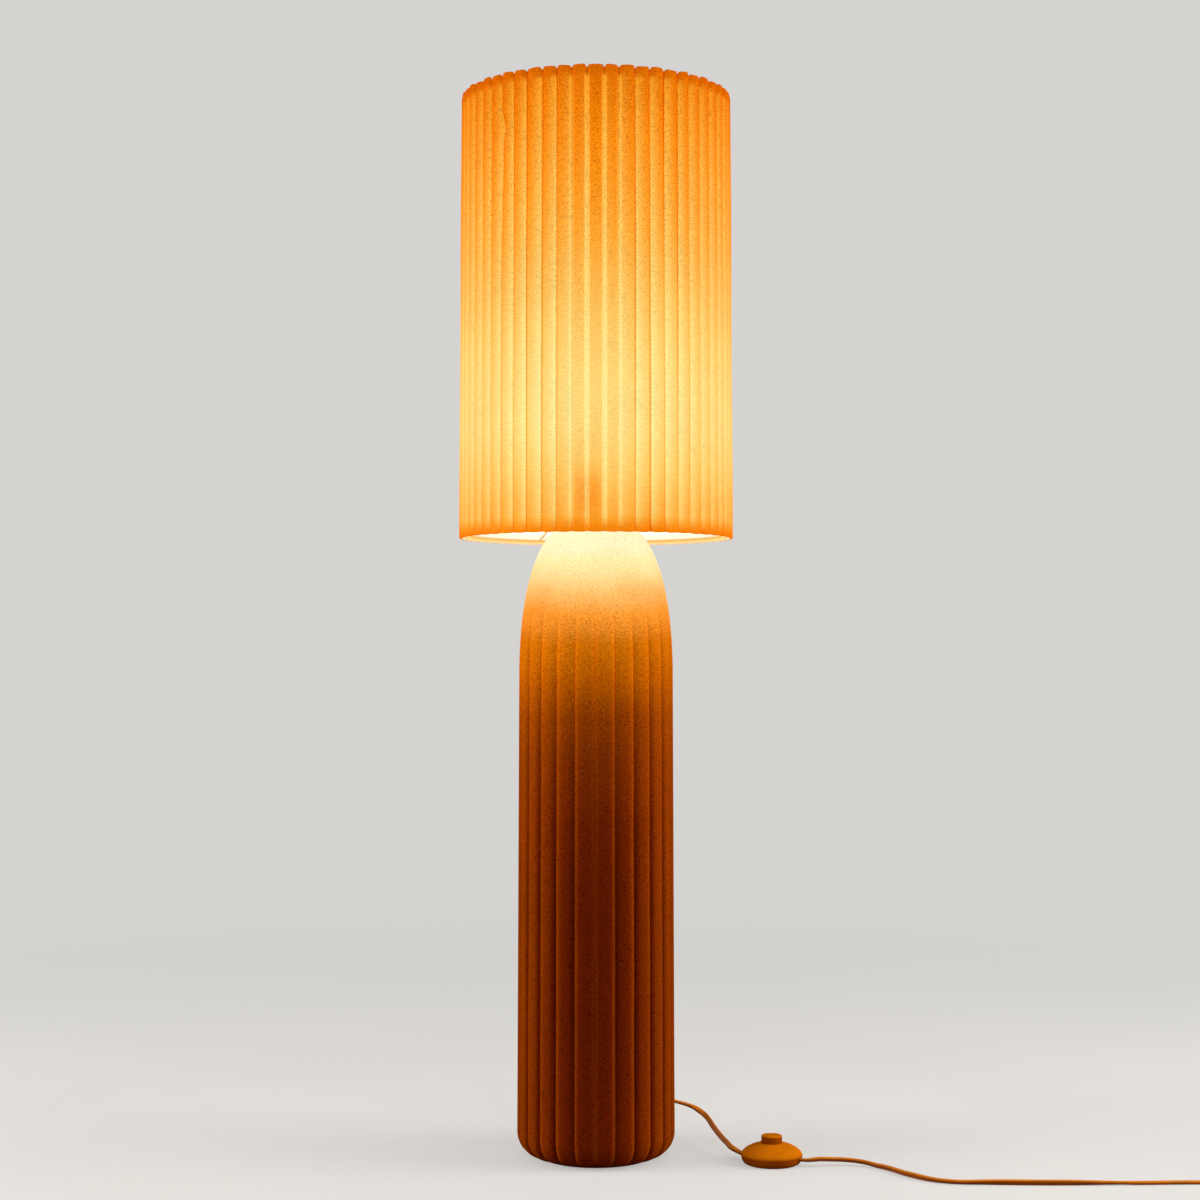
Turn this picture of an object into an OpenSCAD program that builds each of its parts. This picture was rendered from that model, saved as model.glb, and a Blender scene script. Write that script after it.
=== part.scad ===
// Ceramic floor lamp: a ribbed ceramic body, a pleated fabric shade on a wire frame,
// a screw-in bulb, and a flat cord with a foot switch, a coil and a two-pin plug.
// Millimetres, +Z up. The origin is on the floor under the middle of the body.

/* [Ceramic base] */
// Height of the ceramic body from its foot to the flat of its neck
base_h = 654; // [560:1:760]
// Diameter over the ribs where the side meets the foot
base_d = 163.8; // [150:0.2:180]
// Diameter over the ribs where the side meets the shoulder
shoulder_d = 160.4; // [146:0.2:176]
// Height of the rounded shoulder
shoulder_h = 160; // [120:1:200]
// Squareness of the shoulder: 2 is an ellipse and more is squarer
shoulder_power = 2.2; // [2:0.05:2.6]
// Diameter of the flat top of the neck
neck_d = 47.4; // [46:0.2:56]
// Thickness of the clay under the neck's flat
neck_t = 9; // [7:0.5:14]
// Diameter of the hole through the neck
neck_hole_d = 12; // [11:0.5:16]
// Diameter of the foot where it meets the felt
foot_d = 117.8; // [112:0.2:128]
// Height of the rounded edge of the foot
foot_h = 25; // [18:1:36]
// Thickness of the clay wall, measured from the ribs
wall_t = 7.5; // [6.5:0.5:10]
// Number of ribs round the body
rib_n = 24; // [16:1:30]
// Depth of the valleys between the ribs
rib_depth = 2.8; // [1.5:0.1:3.4]
// Height above the foot at which the ribs start to fade
rib_full_h = 540; // [480:1:560]
// Height over which the ribs fade out
rib_fade_h = 55; // [30:1:70]

/* [Underside] */
// Thickness of the felt ring that the lamp stands on
felt_t = 2; // [1:0.5:4]
// Diameter of the shallow recess under the body
recess_d = 100; // [90:1:104]
// Depth of the recess under the body
recess_h = 6; // [5:0.5:10]
// Diameter of the opening inside the recess
mouth_d = 80; // [60:1:84]
// Thickness of the clay lip round the opening
lip_t = 8; // [6:0.5:12]
// Thickness of the sheet metal bottom plate
plate_t = 1.5; // [1:0.1:3]

/* [Cord outlet] */
// Direction of the cord's outlet, counted from the right-hand side towards the back
outlet_turn = 51; // [51:15:66]
// Height of the outlet above the floor
outlet_z = 42; // [36:1:60]
// Diameter of the hole for the strain relief
outlet_d = 12; // [11:0.5:16]
// Distance from the lamp's axis to the tip of the strain relief
relief_reach = 105; // [100:1:120]
// Diameter of the strain relief's flange
relief_flange_d = 17; // [15:0.5:20]

/* [Lampholder] */
// Diameter of the threaded nipple through the neck
nipple_d = 10; // [9.5:0.1:10.4]
// Diameter of the nipple's bore
nipple_bore_d = 7.4; // [6.8:0.1:7.6]
// Diameter of the metal cap on the neck
neck_cap_d = 42; // [36:0.5:45]
// Thickness of the metal cap on the neck
neck_cap_t = 2.5; // [1.5:0.1:4]
// Thickness of the nuts on the nipple
nut_t = 4; // [3:0.5:6]
// Diameter over the wall of the lampholder
holder_d = 38.6; // [38:0.1:40]
// Height of the lampholder's lower cap
holder_cap_h = 19; // [17:0.5:24]
// Height of the lampholder's threaded shell
holder_shell_h = 35; // [33:0.5:42]
// Height of the shade's shoulder above the bottom of the threaded shell
holder_flange_z = 17; // [15:0.5:19]
// Diameter of the shade's shoulder on the lampholder
holder_flange_d = 48; // [46:0.5:49]
// Height of the clamp ring that holds the shade
clamp_ring_h = 7; // [5:0.5:9]

/* [Bulb] */
// Height of the bulb from its centre contact to its top
bulb_h = 104; // [98:1:112]
// Diameter of the bulb's glass
bulb_d = 60; // [50:1:70]
// Diameter of the screw cap over its thread
bulb_cap_d = 26.2; // [25.8:0.1:26.4]
// Pitch of the screw cap's thread
thread_pitch = 3.63; // [3.4:0.01:3.8]

/* [Shade] */
// Height of the shade
shade_h = 459.4; // [400:0.2:520]
// Diameter over the pleats at the bottom of the shade
shade_bottom_d = 285.6; // [270:0.2:310]
// How much narrower the drum is over the pleats at its top than at its bottom
shade_taper = 3.6; // [0:0.2:12]
// How far the shade hangs below the ring that carries it
shade_drop = 58.1; // [45:0.1:75]
// Number of pleats round the shade
pleat_n = 55; // [40:1:60]
// Depth of the pleats
pleat_depth = 3.2; // [2:0.1:4]
// Share of each pleat's pitch that is the flat gap beside it
pleat_gap = 0.26; // [0.1:0.02:0.4]
// Height of the rounded top edge of the pleats
pleat_round_h = 10; // [6:1:16]
// Least thickness of the pleated fabric
fabric_t = 0.8; // [0.6:0.1:1.2]
// Thickness of the shade's lining
liner_t = 0.6; // [0.4:0.1:1]
// Diameter of the wire of the two rings
ring_wire_d = 4; // [3:0.5:5]
// Diameter of the wire of the three arms
arm_wire_d = 2.8; // [2.4:0.1:4]
// Number of arms from the bottom ring to the lampholder
arm_n = 3; // [3:1:4]
// Direction of the first arm, counted from the right-hand side towards the back
arm_turn = 118; // [100:1:130]

/* [Foot switch] */
// Diameter of the foot switch
switch_d = 62.8; // [60:0.2:68]
// Height of the seam between its two shells
seam_z = 9; // [8.8:0.1:10]
// Height of the domed cover above the seam
dome_h = 13; // [12:0.5:15]
// Wall thickness of the two shells
shell_t = 2; // [1.6:0.1:2.4]
// Diameter of the button
button_d = 21.2; // [18:0.2:23]
// Height of the button's top above the floor
button_top_z = 29; // [28.5:0.5:32]
// Travel of the button
button_travel = 2.5; // [1.5:0.1:2.8]

/* [Cord and plug] */
// Width of the flat twin cord
cord_w = 5.4; // [5:0.1:5.6]
// Thickness of the flat twin cord
cord_t = 3.2; // [2.8:0.1:3.4]
// Mean radius of the coil's middle turns
coil_r = 31.5; // [29:0.5:36]
// Turns lying side by side in the coil
coil_turns_wide = 3; // [2:1:3]
// Layers of turns in the coil
coil_layers = 2; // [1:1:3]
// Length of the plug's body
plug_l = 35; // [30:0.5:40]
// Width of the plug's body
plug_w = 25; // [22:0.5:28]
// Thickness of the plug's body
plug_t = 13.6; // [12:0.2:14]
// Diameter of the plug's pins
pin_d = 4; // [3.9:0.05:4.1]
// Length of the pins outside the plug
pin_l = 19; // [17:0.5:20]
// Spacing of the pins at the plug's face
pin_pitch = 18.6; // [17:0.1:19]

/* [Hidden] */

// Smoothness of round features
$fn = 96;
// Clearance of a running or sliding fit
running_gap = 0.05;
// Clearance between pieces that are put together by hand
loose_gap = 0.2;
// Clearance between pieces that move past each other
moving_gap = 0.3;
// How far a cutter runs past the face that it opens
past = 1;

// Heights of the ceramic body above the floor
foot_z = felt_t;
neck_z = foot_z + base_h;
lip_z = foot_z + recess_h;
side_h = base_h - shoulder_h;
// Radius of the flat under the neck, inside the body
land_r = neck_d / 2 - 3.5;
// Straight part of the neck's inner wall, and steps that give the body's outline
foot_steps = 5;
shoulder_steps = 12;
// Points round one rib and one pleat, and the shape of their crests
rib_steps = 4;
rib_power = 2;
pleat_steps = 6;
pleat_power = 3;
// A valley between two ribs lies this far left of the front
valley_turn = 1.5;

// Heights of the neck's stack, the lampholder and the bulb
upper_nut_z = neck_z + neck_cap_t;
holder_z = upper_nut_z + nut_t;
holder_wall_t = 1.9;
holder_ledge_h = 13.5;
insert_t = 8.5;
insert_z = holder_z + holder_ledge_h;
insert_top_z = insert_z + insert_t;
shell_z = holder_z + holder_cap_h;
flange_top_z = shell_z + holder_flange_z;
flange_t = 3;
sleeve_h = 24;
sleeve_r = bulb_cap_d / 2 + 0.5;
sleeve_t = 0.8;
bulb_tip_h = 2;
bulb_insulator_h = 3;
bulb_cap_h = 22;
tongue_h = 6;
bulb_z = insert_top_z + sleeve_t + tongue_h + loose_gap;
bulb_cap_z = bulb_z + bulb_tip_h + bulb_insulator_h;
glass_t = 1;
neck_glass_r = bulb_cap_d / 2 - 1.05;
gasket_t = 2;
washer_t = 2;
washer_r = 17;
nipple_below = 12;
nipple_above = 10;
nut_af = 14;
hex_r = nut_af / 2 / cos(30);

// Places of the shade's parts
fitter_z = flange_top_z + loose_gap;
fitter_t = 1.5;
fitter_hole_r = holder_d / 2 + 1.1;
fitter_r = 27;
shade_z = fitter_z - shade_drop;
shade_top_z = shade_z + shade_h;
shade_top_d = shade_bottom_d - shade_taper;
valley_bottom_r = shade_bottom_d / 2 - pleat_depth;
valley_top_r = shade_top_d / 2 - pleat_depth;
top_tuck = 2.6;
liner_bottom_r = valley_bottom_r - fabric_t - loose_gap;
liner_top_r = valley_top_r - fabric_t - loose_gap;
binding_t = 0.4;
binding_h = 9;
ring_wire_r = ring_wire_d / 2;
arm_wire_r = arm_wire_d / 2;
ring_edge = binding_t + ring_wire_r + 0.1;
ring_bottom_r = liner_bottom_r - liner_t - ring_wire_r - 0.5;
ring_top_r = liner_top_r - liner_t - ring_wire_r - 0.5;
ring_bottom_z = shade_z + ring_edge;
ring_top_z = shade_top_z - ring_edge;
arm_start_r = fitter_r - 1.8;
arm_start_z = fitter_z - 0.6;

// Place of the foot switch, and the way that its cord runs through it
switch_x = 179.5;
switch_y = -35;
switch_turn = -25;
switch_r = switch_d / 2;
dome_power = 0.6;
dome_steps = 12;
switch_cord_z = 6.6;
button_r = button_d / 2;
button_hole_r = button_r + moving_gap;
button_flange_r = button_r + 2;
button_flange_t = 1.4;
button_wall_t = 1.8;
button_roof_t = 3;
plunger_r = 6.4;
plunger_bore_r = 4.4;
post_r = 2.4;
post_shoulder_r = 4;
post_shoulder_z = shell_t + 4;
post_top_z = 18;
rotor_r = 8;
rotor_t = 3;
contact_t = 0.8;
contact_arm_r = 12;
spring_r = 3.4;
spring_wire_r = 0.35;
spring_turns = 8;
terminal_x = 15;
terminal_y = 9;
terminal_size = [6, 5, 6];
case_screw_y = 21;
case_post_r = 3.2;
clamp_x = 21;
cord_end_x = 19;

// The coil lies just past the right-hand edge of the picture, with the plug behind it
coil_x = 660;
coil_y = -87;
turn_gap = cord_w + 0.1;
layer_gap = cord_t + 0.2;
coil_in_r = coil_r - (coil_turns_wide - 1) * turn_gap / 2 - cord_w / 2;
coil_out_r = coil_r + (coil_turns_wide - 1) * turn_gap / 2 + cord_w / 2;
coil_h = layer_gap * coil_layers + 0.2;
lead_x = coil_x + coil_out_r - cord_w / 2;
lead_z = coil_h - layer_gap / 2 - 0.1;
plug_y = coil_y + 62;
plug_z = plug_t / 2;
plug_relief_l = 20;

// Points of the cord's route, from the strain relief down to the switch and on to the coil
route_to_switch = [
    [70, 86.5, 41.5], [78, 93, 39.5], [87, 96.5, 37], [97, 96.5, 34.5], [106, 93, 32],
    [111.5, 88.5, 29.5], [116, 82.5, 27], [119.5, 74.5, 24.5], [122, 66, 22], [124, 57, 20],
    [126, 48, 18.5], [128, 39, 17], [130, 30, 16], [132, 20, 15], [134.5, 9, 14],
    [137, -1, 13], [138.5, -8, 12], [141.5, -13.5, 10.5], [146, -18.5, 8.5]];
route_from_switch = [
    [214, -50.5, 7], [220, -51.5, 7.5], [227, -50.5, 7.5], [234, -48.5, 7], [242, -46.5, 6.5],
    [250, -45, 6], [258, -45, 5.5], [266, -46.5, 5], [274, -49.5, 4], [282, -54, 3],
    [289, -60, 2.5], [296, -68, 2], [302, -77, 1.7], [309, -86, 1.7], [317, -95, 1.7],
    [326, -105, 1.7], [336, -113, 1.7], [348, -118, 1.7], [362, -120.5, 1.7], [380, -121.5, 1.7],
    [400, -122.5, 1.7], [425, -124, 1.7], [450, -125.5, 1.7], [480, -126.5, 1.7],
    [510, -126.5, 1.7], [540, -126, 1.7], [570, -125, 1.7], [600, -124.5, 1.7], [622, -124, 1.7],
    [640, -124, 1.7]];
// Cord inside the body: shares of the body's radius and of the way up to the lampholder
inside_shares = [
    [1.1, 0], [0.9, 0], [0.73, 0], [0.61, 0.001], [0.5, 0.005], [0.4, 0.013], [0.33, 0.024],
    [0.27, 0.042], [0.22, 0.067], [0.18, 0.11], [0.145, 0.19], [0.11, 0.32], [0.073, 0.48],
    [0.043, 0.64], [0.018, 0.78], [0.006, 0.89], [0, 0.935]];
route_inside = [for (share = inside_shares)
    [share[0] * base_d / 2, outlet_z + share[1] * (insert_z - outlet_z)]];

// Value between two others
function mix(a, b, share) = a + (b - a) * share;
// A point on a circle
function polar(r, turn) = [r * cos(turn), r * sin(turn)];
// A unit vector
function unit(v) = v / norm(v);
// A point of the foot switch's own axis, in the lamp's frame
function switch_point(x, y, z) =
    [switch_x + x * cos(switch_turn) - y * sin(switch_turn),
     switch_y + x * sin(switch_turn) + y * cos(switch_turn), z];
// Radius of the body's ribs below the shoulder, at a height above the foot
function side_r(h) = mix(base_d, shoulder_d, h / side_h) / 2;
// How deep the valleys are at a height above the foot
function rib_at(h) =
    rib_depth * min(1, max(0, (rib_full_h + rib_fade_h - h) / rib_fade_h));
// Height of the switch's dome at a radius, for a dome of that size
function dome_z(r, out_r, h) = seam_z + h * pow(max(0, 1 - pow(r / out_r, 2)), dome_power);

// Outline of the body's ribs: radius, height above the foot and depth of the valleys
body_rows = concat(
    [for (i = [0:foot_steps]) let (a = 90 * i / foot_steps, h = foot_h * (1 - cos(a)),
        r = mix(foot_d / 2, side_r(foot_h), sin(a))) [r, h, rib_depth * r / side_r(foot_h)]],
    [for (h = [side_h / 3, side_h * 2 / 3]) [side_r(h), h, rib_at(h)]],
    [for (i = [0:shoulder_steps]) let (a = 90 * i / shoulder_steps,
        h = side_h + shoulder_h * pow(sin(a), 2 / shoulder_power))
        [mix(neck_d, shoulder_d, pow(cos(a), 2 / shoulder_power)) / 2, h, rib_at(h)]]);
// Outline of the hollow inside the body: radius and height above the foot
hollow_outline = concat(
    [[0, recess_h + lip_t], [side_r(0) - wall_t - 10, recess_h + lip_t],
     [side_r(foot_h) - wall_t, foot_h + 2]],
    [for (i = [0:shoulder_steps]) let (a = 90 * i / shoulder_steps)
        [mix(land_r, shoulder_d / 2 - wall_t, pow(cos(a), 2 / shoulder_power)),
         side_h + (shoulder_h - neck_t) * pow(sin(a), 2 / shoulder_power)]],
    [[0, base_h - neck_t]]);
// Outline of the pleats from the bottom of the shade to its tucked top edge
pleat_rows = [
    [shade_bottom_d / 2, 0, pleat_depth],
    [shade_top_d / 2, shade_h - pleat_round_h, pleat_depth],
    [shade_top_d / 2 - top_tuck * 0.35, shade_h - pleat_round_h * 0.4, pleat_depth * 0.85],
    [shade_top_d / 2 - top_tuck, shade_h, pleat_depth - top_tuck + 0.2]];
// Outline of the switch's dome from the rim to the hole, for a dome of that size
function dome_outline(out_r, h, hole_r) =
    [for (i = [0:dome_steps]) let (r = mix(out_r, hole_r, pow(i / dome_steps, 1.6)))
        [r, dome_z(r, out_r, h)]];
// Outline of the bulb's glass, made smaller by an inset
function glass_outline(inset) =
    let (r = bulb_d / 2, centre_z = bulb_h - r, low_z = bulb_tip_h + bulb_insulator_h + bulb_cap_h)
    concat(
        [[neck_glass_r - inset, low_z - 5]],
        [for (i = [0:8]) let (u = i / 8) [neck_glass_r + (r - neck_glass_r) * pow(sin(90 * u), 1.2)
            - inset, mix(low_z, centre_z, u)]],
        [for (i = [1:9]) let (a = 10 * i) [(r - inset) * cos(a), centre_z + (r - inset) * sin(a)]]);

// Share of a crest's relief at a place between two valleys, where 0 is the crest
function relief(f, gap, power) = min(1, pow(abs(2 * f - 1) / (1 - gap), power));

// A closed solid whose outline is turned round the axis, with ribs up its side
module ribbed(rows, n, steps, gap, power, turn) {
    count = n * steps;
    levels = len(rows);
    middle = levels * count;
    points = concat([for (row = rows) for (k = [0:count - 1])
        let (r = row[0] - row[2] * relief((k % steps) / steps, gap, power))
        concat(polar(r, turn + 360 * k / count), row[1])],
        [[0, 0, rows[0][1]], [0, 0, rows[levels - 1][1]]]);
    sides = [for (j = [0:levels - 2]) for (k = [0:count - 1]) let (next = (k + 1) % count)
        [j * count + k, (j + 1) * count + k, (j + 1) * count + next, j * count + next]];
    low_end = [for (k = [0:count - 1]) [middle, k, (k + 1) % count]];
    high_end = [for (k = [0:count - 1]) let (start = (levels - 1) * count)
        [middle + 1, start + (k + 1) % count, start + k]];
    polyhedron(points, concat(sides, low_end, high_end), convexity = 6);
}

// A tube of an elliptical section swept along a route; side_of gives the section's wide way
module sweep(route, w, t, reference = [0, 0, 1], sides = 8) {
    last = len(route) - 1;
    points = [for (i = [0:last])
        let (along = unit(route[min(i + 1, last)] - route[max(i - 1, 0)]),
            wide = unit(cross(along, reference)), high = cross(wide, along))
        for (k = [0:sides - 1]) let (a = 360 * (k + 0.5) / sides)
            route[i] + w / 2 * cos(a) * wide + t / 2 * sin(a) * high];
    walls = [for (i = [0:last - 1]) for (k = [0:sides - 1]) let (next = (k + 1) % sides,
            a = i * sides, b = a + sides)
        each [[a + k, b + k, b + next], [a + k, b + next, a + next]]];
    polyhedron(points, concat(walls, [[for (k = [0:sides - 1]) k]],
        [[for (k = [sides - 1:-1:0]) last * sides + k]]), convexity = 6);
}

// A solid of revolution from radius and height pairs, set at a height
module turned(outline, z = 0) {
    translate([0, 0, z]) rotate_extrude() polygon(outline);
}

// A tube, or a disc with a hole, set at a height
module tube(outer_r, inner_r, h, z = 0) {
    translate([0, 0, z]) difference() {
        cylinder(r = outer_r, h = h);
        translate([0, 0, -past]) cylinder(r = inner_r, h = h + 2 * past);
    }
}

// A six-sided nut on the nipple
module hex_nut(z) {
    translate([0, 0, z]) difference() {
        cylinder(r = hex_r, h = nut_t, $fn = 6);
        translate([0, 0, -past]) cylinder(r = nipple_d / 2 + running_gap, h = nut_t + 2 * past);
    }
}

// A ring of round wire
module wire_ring(r, wire_r, z) {
    translate([0, 0, z]) rotate_extrude() translate([r, 0]) circle(r = wire_r, $fn = 24);
}

// A round rod from one point to another
module rod(from, to, r) {
    d = to - from;
    translate(from) rotate([0, acos(d[2] / norm(d)), atan2(d[1], d[0])])
        cylinder(r = r, h = norm(d), $fn = 24);
}

// Places its children at the foot switch, turned the way that its cord runs
module at_switch() {
    translate([switch_x, switch_y, 0]) rotate([0, 0, switch_turn]) children();
}

// Places its children at the body's outlet, with +Z pointing out of the body
module at_outlet() {
    rotate([0, 0, outlet_turn]) translate([0, 0, outlet_z]) rotate([0, 90, 0]) children();
}

module felt_ring() {
    color("saddlebrown") tube(foot_d / 2 - 2.2, recess_d / 2 + 1, felt_t);
}

// Pressed sheet disc that closes the recess, with a raised middle for stiffness
module bottom_plate() {
    r = recess_d / 2 - 0.4;
    raised_r = mouth_d / 2 - 6;
    z = lip_z - plate_t;
    color("dimgray") turned([
        [0, z + 4], [raised_r, z + 4], [raised_r + 4, z], [r, z], [r, z + plate_t],
        [raised_r + 4 + plate_t, z + plate_t], [raised_r + plate_t, z + 4 + plate_t],
        [0, z + 4 + plate_t]]);
}

module ceramic_base() {
    color("peru") difference() {
        translate([0, 0, foot_z])
            ribbed(body_rows, rib_n, rib_steps, 0, rib_power, -90 - valley_turn);
        turned(hollow_outline, foot_z);
        translate([0, 0, foot_z - past]) cylinder(r = recess_d / 2, h = recess_h + past);
        translate([0, 0, foot_z]) cylinder(r = mouth_d / 2, h = recess_h + lip_t + past);
        translate([0, 0, neck_z - neck_t - past])
            cylinder(r = neck_hole_d / 2, h = neck_t + 2 * past);
        at_outlet() cylinder(r = outlet_d / 2, h = base_d);
    }
}

// Rubber strain relief: barbs inside the wall, a flange on the ribs and a tapered tail
module strain_relief() {
    flange_r = relief_flange_d / 2;
    face = side_r(outlet_z - foot_z) + 0.15;
    inside = face - wall_t - 0.6;
    barrel_r = outlet_d / 2 - loose_gap;
    color("chocolate") at_outlet() difference() {
        turned([
            [0, inside - 4], [barrel_r, inside - 4], [barrel_r + 1.4, inside], [barrel_r, inside],
            [barrel_r, face], [flange_r, face], [flange_r, face + 1.6], [flange_r - 1.4, face + 3],
            [5.4, face + 3], [4, relief_reach], [0, relief_reach]]);
        translate([-cord_t / 2 - loose_gap, -cord_w / 2 - loose_gap, inside - 5])
            cube([cord_t + 2 * loose_gap, cord_w + 2 * loose_gap, relief_reach]);
    }
}

module neck_gasket() {
    color("black")
        tube(washer_r, nipple_d / 2 + loose_gap, gasket_t, neck_z - neck_t - gasket_t);
}

module clamp_washer() {
    color("silver") tube(washer_r, nipple_d / 2 + loose_gap, washer_t,
        neck_z - neck_t - gasket_t - washer_t);
}

module lower_nut() {
    color("silver") hex_nut(neck_z - neck_t - gasket_t - washer_t - nut_t);
}

module nipple() {
    low_z = neck_z - neck_t - nipple_below;
    color("goldenrod")
        tube(nipple_d / 2, nipple_bore_d / 2, holder_z + nipple_above - low_z, low_z);
}

// Spun metal cap that covers the hole in the neck
module neck_cap() {
    r = neck_cap_d / 2;
    color("burlywood") difference() {
        turned([[0, 0], [r, 0], [r, neck_cap_t * 0.5], [r - 1.2, neck_cap_t],
            [0, neck_cap_t]], neck_z);
        translate([0, 0, neck_z - past])
            cylinder(r = nipple_d / 2 + loose_gap, h = neck_cap_t + 2 * past);
    }
}

module upper_nut() {
    color("silver") hex_nut(upper_nut_z);
}

module holder_cap() {
    r = holder_d / 2;
    bore = nipple_d / 2 + running_gap;
    color("ivory") difference() {
        turned([
            [bore, 0], [8, 0], [8, 5], [r - 3, 8.5], [r, 12], [r, holder_cap_h],
            [r - holder_wall_t, holder_cap_h], [r - holder_wall_t, holder_ledge_h],
            [r - 4.5, holder_ledge_h], [r - 4.5, 11], [8, nipple_above], [bore, nipple_above]],
            holder_z);
        translate([0, 0, holder_z + 2.5]) rotate([0, 90, 0])
            cylinder(r = 1.25, h = 8 + past, $fn = 24);
    }
}

module grub_screw() {
    color("silver") translate([nipple_d / 2, 0, holder_z + 2.5]) rotate([0, 90, 0])
        cylinder(r = 1.2, h = 3.4, $fn = 24);
}

// Threaded shell with the shoulder that the shade rests on
module holder_shell() {
    r = holder_d / 2;
    crest = 0.6;
    pitch = 2.5;
    first = holder_flange_z + 4;
    crests = floor((holder_shell_h - first - 2) / pitch);
    color("ivory") translate([0, 0, shell_z]) rotate_extrude() {
        polygon([
            [r - 2.3, 0], [r, 0], [r, holder_flange_z - flange_t - 2],
            [holder_flange_d / 2, holder_flange_z - flange_t],
            [holder_flange_d / 2, holder_flange_z], [r, holder_flange_z], [r, holder_shell_h],
            [sleeve_r + 1.6, holder_shell_h], [sleeve_r + 1.6, holder_shell_h - 2],
            [r - 2.3, holder_shell_h - 2]]);
        for (i = [0:crests - 1]) translate([r, first + i * pitch])
            polygon([[-0.1, -0.9], [crest, 0], [-0.1, 0.9]]);
    }
}

module holder_insert() {
    color("whitesmoke") difference() {
        translate([0, 0, insert_z]) cylinder(r = holder_d / 2 - 2.5, h = insert_t);
        for (x = [-10, 10]) translate([x, 0, insert_z - past])
            cylinder(r = 1.3, h = insert_t - 1 + past, $fn = 24);
    }
}

module holder_sleeve() {
    color("goldenrod") tube(sleeve_r + sleeve_t, sleeve_r, sleeve_h, insert_top_z);
}

// Springy contact in the bottom of the lampholder, which the bulb's tip presses on
module centre_contact() {
    color("goldenrod") turned([
        [0, 0], [6, 0], [6, sleeve_t], [2.4, sleeve_t], [2.4, sleeve_t + tongue_h],
        [0, sleeve_t + tongue_h]], insert_top_z);
}

module holder_screws() {
    color("silver") for (x = [-10, 10]) translate([x, 0, insert_z - 1.5]) {
        cylinder(r = 2.2, h = 1.5, $fn = 24);
        cylinder(r = 1.25, h = insert_t, $fn = 24);
    }
}

// The flat cord inside the lamp, from the tip of the strain relief up to the lampholder
module internal_cord() {
    place = polar(1, outlet_turn);
    flat_route = concat([[relief_reach, outlet_z]], route_inside, [[0, insert_z]]);
    color("chocolate") sweep([for (p = flat_route) [p[0] * place[0], p[0] * place[1], p[1]]],
        cord_w, cord_t, [place[0], place[1], 1]);
}

// Threaded collar with a grip of shallow flutes, which clamps the shade's frame
module shade_clamp_ring() {
    z = fitter_z + fitter_t + loose_gap;
    r = holder_flange_d / 2 + 2.2;
    color("ivory") difference() {
        tube(r, holder_d / 2 + 0.8, clamp_ring_h, z);
        for (i = [0:23]) rotate([0, 0, 15 * i]) translate([r + 0.8, 0, z - past])
            cylinder(r = 1.4, h = clamp_ring_h + 2 * past, $fn = 24);
    }
}

// Welded wire frame: the bottom ring, the arms and the plate that sits on the lampholder
module shade_frame() {
    color("white") {
        wire_ring(ring_bottom_r, ring_wire_r, ring_bottom_z);
        tube(fitter_r, fitter_hole_r, fitter_t, fitter_z);
        for (i = [0:arm_n - 1]) let (turn = arm_turn + 360 * i / arm_n)
            rod(concat(polar(arm_start_r, turn), arm_start_z),
                concat(polar(ring_bottom_r, turn), ring_bottom_z), arm_wire_r);
    }
}

module shade_top_ring() {
    color("white") wire_ring(ring_top_r, ring_wire_r, ring_top_z);
}

module shade_liner() {
    color("floralwhite") turned([
        [liner_bottom_r - liner_t, binding_t + 0.1], [liner_bottom_r, binding_t + 0.1],
        [liner_top_r, shade_h - binding_t - 0.1],
        [liner_top_r - liner_t, shade_h - binding_t - 0.1]], shade_z);
}

module shade_cover() {
    color("orange") translate([0, 0, shade_z]) difference() {
        ribbed(pleat_rows, pleat_n, pleat_steps, pleat_gap, pleat_power,
            -90 - 180 / pleat_n);
        translate([0, 0, -past]) cylinder(h = shade_h + 2 * past,
            r1 = mix(valley_bottom_r, valley_top_r, -past / shade_h) - fabric_t,
            r2 = mix(valley_bottom_r, valley_top_r, 1 + past / shade_h) - fabric_t, $fn = 720);
    }
}

// Tape that wraps one of the rings, drawn for the bottom edge
module binding(ring_r, liner_r) {
    inner_r = ring_r - ring_wire_r - loose_gap - binding_t;
    turned([[inner_r, 0], [liner_r, 0], [liner_r, binding_t], [inner_r + binding_t, binding_t],
        [inner_r + binding_t, binding_h], [inner_r, binding_h]]);
}

module shade_top_binding() {
    color("orange") translate([0, 0, shade_top_z]) mirror([0, 0, 1])
        binding(ring_top_r, liner_top_r);
}

module shade_bottom_binding() {
    color("orange") difference() {
        translate([0, 0, shade_z]) binding(ring_bottom_r, liner_bottom_r);
        for (i = [0:arm_n - 1]) let (turn = arm_turn + 360 * i / arm_n)
            rod(concat(polar(arm_start_r, turn), arm_start_z),
                concat(polar(ring_bottom_r, turn), ring_bottom_z), arm_wire_r + loose_gap);
    }
}

module bulb_glass() {
    inner = glass_outline(glass_t);
    color("lightyellow") turned(concat(glass_outline(0),
        [for (i = [len(inner) - 1:-1:0]) inner[i]]), bulb_z);
}

// Glass stem that carries the filaments
module bulb_stem() {
    low_z = bulb_cap_h + bulb_tip_h + bulb_insulator_h - 4;
    color("azure") turned([
        [0, 0], [neck_glass_r - glass_t - 0.1, 0], [neck_glass_r - glass_t - 0.1, 1.5],
        [3.5, 8], [3.5, 26], [1.2, 30], [1.2, 62], [0, 62]], bulb_z + low_z);
}

// Wire rings and spokes that hold the filaments' ends on the stem
module filament_frame() {
    low_z = bulb_z + bulb_h - 54;
    high_z = bulb_z + bulb_h - 20;
    color("silver") for (set = [[low_z, 9, 3.1], [high_z, 5, 1.3]]) {
        wire_ring(set[1], 0.5, set[0]);
        for (turn = [0:90:270]) rod(concat(polar(set[2], turn), set[0]),
            concat(polar(set[1], turn), set[0]), 0.4);
    }
}

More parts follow.
